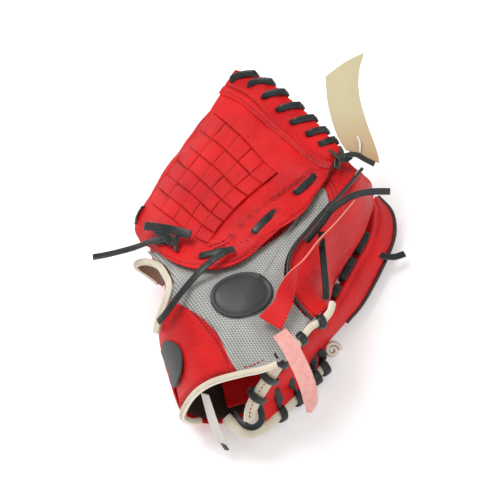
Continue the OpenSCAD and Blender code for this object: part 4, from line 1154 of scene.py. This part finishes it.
straps("care_label_tip", [([[-21, -171, 21], [-19, -173.5, 18.5], [-17.5, -175, 16]], 5, 1,
                           {"face": CARE_FACE})], PATCH, "thumb_side", count=24)

# ---------- finger side ----------


SWELL = 1.05  # how much fuller the stalls are than their widths say


def stall(name, node, line, width, height, face, seed):
    """Hollow finger stall: a leather tube with an inner wall, and a seam along each side."""
    count, sides, wall, tip_start = 60, 56, 3.0, 0.82
    even = np.arange(count + 1) / count
    t = even**0.75
    angle = 2 * np.pi * np.arange(sides) / sides
    flank = np.abs(np.cos(angle))
    seam = 0.8 * np.exp(-((flank - 1) / 0.01) ** 2) - 0.35 * np.exp(-((flank - 0.975) / 0.008) ** 2)
    tip = np.sqrt(np.maximum(1 - (np.maximum(even - tip_start, 0) / 0.2) ** 2, 0.03))

    def ring_shell(inset):
        share = t * (1 - inset / 60)
        centre = along(line, share)
        travel = unit(along(line, share + 0.01) - along(line, share - 0.01))
        side = unit(np.cross(travel, np.broadcast_to(np.asarray(face, float), centre.shape)))
        up = np.cross(side, travel)
        taper = 0.84 + 0.16 * np.sin(np.pi * np.minimum(share * 1.1, 1))
        grow = SWELL + (seam / (width / 2) if inset == 0 else 0)
        across = ((width * taper - 2 * inset) * tip / 2)[:, None] * np.cos(angle) * grow
        rise = ((height * taper - 2 * inset) * tip / 2)[:, None] * np.sin(angle) * SWELL
        return centre[:, None] + side[:, None] * across[..., None] + up[:, None] * rise[..., None]

    outer, inner = ring_shell(0), ring_shell(wall)
    way = unit(outer - along(line, t)[:, None])
    outer = outer + way * (waves(outer, 30, 0.7, seed) + waves(outer, 11, 0.2, seed + 1))[..., None]
    rings = np.concatenate([inner[::-1], outer])
    make(name, rings.reshape(-1, 3), tube_faces(len(rings), sides), RED, "finger_side", [node])


index_line = [[-60, -42, 35], [-66, -2, 37], [-53, 40, 39], [-30, 80, 43], [-10, 103, 47]]
middle_line = [[-42, -52, 15], [-41, -5, 15], [-23, 40, 17], [8, 74, 21], [28, 86, 27]]
ring_line = [[-9, -56, 11], [-1, -8, 11], [21, 30, 12], [46, 52, 16], [63, 58, 22]]
pinky_line = [[26, -58, 11], [44, -24, 10], [68, -2, 10], [87, 10, 12], [96, 16, 14]]
stall("index_finger", "index_stall", index_line, 29, 20, face=[-0.8, 0, -0.6], seed=41)
stall("middle_finger", "middle_stall", middle_line, 35, 22, face=[-0.25, 0, -0.97], seed=43)
stall("ring_finger", "ring_stall", ring_line, 38, 20, face=[0, 0, -1], seed=45)
stall("little_finger", "pinky_stall", pinky_line, 38, 18, face=[0.05, 0, -1], seed=47)
tip_laces = [[[-20, 96, 42], [-8, 92, 36], [2, 86, 34]], [[30, 82, 30], [40, 72, 26], [48, 64, 25]],
             [[68, 54, 26], [78, 38, 22], [84, 26, 20]]]
straps("finger_tip_lace", [(line, LACE_W, LACE_T, {}) for line in tip_laces], BLACK, "finger_side",
       ["finger_lace"], count=40, bumpy=0.05)
pinky_loop = [[34, -66, 8], [33, -66, 14], [26, -67, 19], [19, -68, 14], [18, -68, 8]]
straps("little_finger_loop", [(pinky_loop, LOOP_W, LOOP_T, {"face": [0, 1, 0]})], WEBBING, "finger_side",
       ["pinky_loop"])


def hand_back_relief(p, u, v):
    """A seam along each long edge."""
    rows = [line_on(BACK, [[0.06, across], [0.94, across]]) for across in (0.06, 0.93)]
    height, shade = sewn(p, rows, 0.5)
    return height + waves(p, 36, 0.7, 51), shade, 0


sheet("back_of_hand_leather", BACK, LEATHER, RED, "finger_side", ["back_of_hand"],
      span=(0.01, 0.99, 0.02, 0.99), n=(90, 60), relief=hand_back_relief)


def wrist_shade(p, u, v):
    """Painted shade: the lining darkens to nearly black towards the wrist opening, and stays brown further in.
    """
    return waves(p, 30, 0.3, 55), np.clip((-98 - p[..., 1]) / 8, 0, 1), 0


wrist_edges = between([[0.45, 0.06], [0.97, 0.06]], [[0.55, 0.8], [0.985, 0.85]])
sheet("wrist_strap_lower_leather", BACK, 1.6, RED, "finger_side", ["wrist_strap_lower"], level=2.2,
      edges=wrist_edges, n=(60, 40), relief=crumpled(53, 30, 0.4), size=(70, 60))
sheet("palm_lining_cloth", BACK, LINING, LINER, "finger_side", ["palm_lining"], level=-LEATHER - 0.9,
      span=(0.04, 0.985, 0.06, 0.985), n=(50, 36), relief=wrist_shade)
pad = sheet("palm_felt_pad", BACK, PAD, FELT, "finger_side", ["palm_pad"], level=-LEATHER - LINING - 1.2,
            span=(0.1, 0.4, 0.15, 0.85), n=(26, 30), edge=2.5)
sheet("palm_inner_leather", BACK, 1.4, RED, "finger_side", level=-LEATHER - LINING - PAD - 1.8,
      span=(0.08, 0.45, 0.12, 0.88), n=(40, 40), relief=crumpled(59, 24, 0.7))
heel_facing = (between([[9, -158, 23], [24, -142, 16], [37, -127, 12], [48, -113, 12], [57, -102, 12]],
                       [[6, -150, 31], [22, -131, 25], [36, -114, 20], [49, -98, 18], [60, -86, 16]]),
               0, [0, -0.5, 0.85])
sheet("heel_facing_leather", heel_facing, 1.4, RED, "finger_side", span=(0, 1, 0, 1), n=(40, 16),
      relief=crumpled(60, 20, 0.3))
sheet("pocket_liner_leather", POCKET, LEATHER, RED, "finger_side", ["pocket_leather"], n=(60, 60),
      relief=crumpled(57, 34, 0.9))

SLIT_U = 0.04
SLIT_LACES = ((0.565, 0.62), (0.64, 0.745), (0.765, 0.875))


def pinky_relief(p, u, v):
    """The slit of the palm's crease with its raised lips, a crease beside it, and the outer seam."""
    rim = [line_on(PINKY, [[0.955, 0.1], [0.955, 0.5], [0.955, 0.97]])]
    height, shade = sewn(p, rim, 0.4)
    d, _ = distance(p, line_on(PINKY, [[SLIT_U, 0.5], [SLIT_U, 0.97]]))
    lips = 1.6 * np.exp(-(((d - 4.5) / 2.2) ** 2)) - 1.6 * np.exp(-((d / 2.2) ** 2))
    crease = distance(p, line_on(PINKY, [[0.3, 0.5], [0.36, 0.75], [0.42, 0.98]]))[0]
    height = height + lips - 0.9 * np.exp(-((crease / 3) ** 2))
    height = height + waves(p, 40, 0.8, 61) + waves(p, 15, 0.25, 62)
    # Painted shade in the slit between the lips, and in the seam's groove.
    return height, np.maximum(shade, 0.6 * np.exp(-((d / 2.2) ** 2))), 0


sheet("little_finger_palm_leather", PINKY, LEATHER, RED, "finger_side", ["pinky_palm"], n=(60, 130),
      relief=pinky_relief)
pinky_edge = np.array(pinky_right)[3:] + [0.7, 0, -0.6]
straps("little_finger_welt", [(pinky_edge, WELT + 0.2, WELT + 0.2, {})], WELTING, "finger_side",
       ["pinky_welting"], count=120, power=2.2, bumpy=0.05)


def crease_lace(a, b):
    """A lace that bridges the slit in the palm's crease, from share a to share b of its length."""
    at = [(0.0, -1), (0.08, 2.4), (0.25, 3.8), (0.5, 4.4), (0.75, 3.8), (0.92, 2.4), (1, -1)]
    return [stretch(PINKY[0], SLIT_U, mix(a, b, t)) + PALM_UP * h for t, h in at]


crease_laces = [(crease_lace(*ends), LACE_W + 1, LACE_T, {"seed": k}) for k, ends in enumerate(SLIT_LACES)]
straps("palm_crease_lace", crease_laces, BLACK, "finger_side", ["palm_lace"], face=PALM_UP, count=40,
       bumpy=0.06)

# ---------- floor and light ----------


def add_stage():
    data = bpy.data.meshes.new("floor")
    data.from_pydata([(-3, -3, 0), (3, -3, 0), (3, 3, 0), (-3, 3, 0)], [], [(0, 1, 2, 3)])
    floor = bpy.data.objects.new("floor", data)
    material = Material("floor", Roughness=0.9, **{"Specular IOR Level": 0.1, "Emission Color": (1, 1, 1, 1),
                                                   "Emission Strength": 0.16})
    grain = material.noise(40, 2)
    colour = material.blend(grain, (0.93, 0.93, 0.93), (0.96, 0.96, 0.96))
    data.materials.append(material.finish(colour, material.bump(grain, 0.02, 0.0005)))
    bpy.context.collection.objects.link(floor)


def add_light(name, place, size, power, target=(0, 0, 0.05)):
    data = bpy.data.lights.new(name, "AREA")
    data.shape, data.size, data.energy = "DISK", size, power
    light = bpy.data.objects.new(name, data)
    light.location = place
    light.rotation_euler = (Vector(target) - Vector(place)).to_track_quat("-Z", "Y").to_euler()
    bpy.context.collection.objects.link(light)


add_stage()
add_light("key", (-0.8, 0.55, 2.0), 1.1, 32)
add_light("fill", (1.3, -1.2, 1.5), 1.6, 9)
world = bpy.data.worlds.new("studio")
world.use_nodes = True
world.node_tree.nodes["Background"].inputs["Color"].default_value = (1, 1, 1, 1)
world.node_tree.nodes["Background"].inputs["Strength"].default_value = 0.72
bpy.context.scene.world = world
bpy.context.scene.view_settings.view_transform = "Standard"
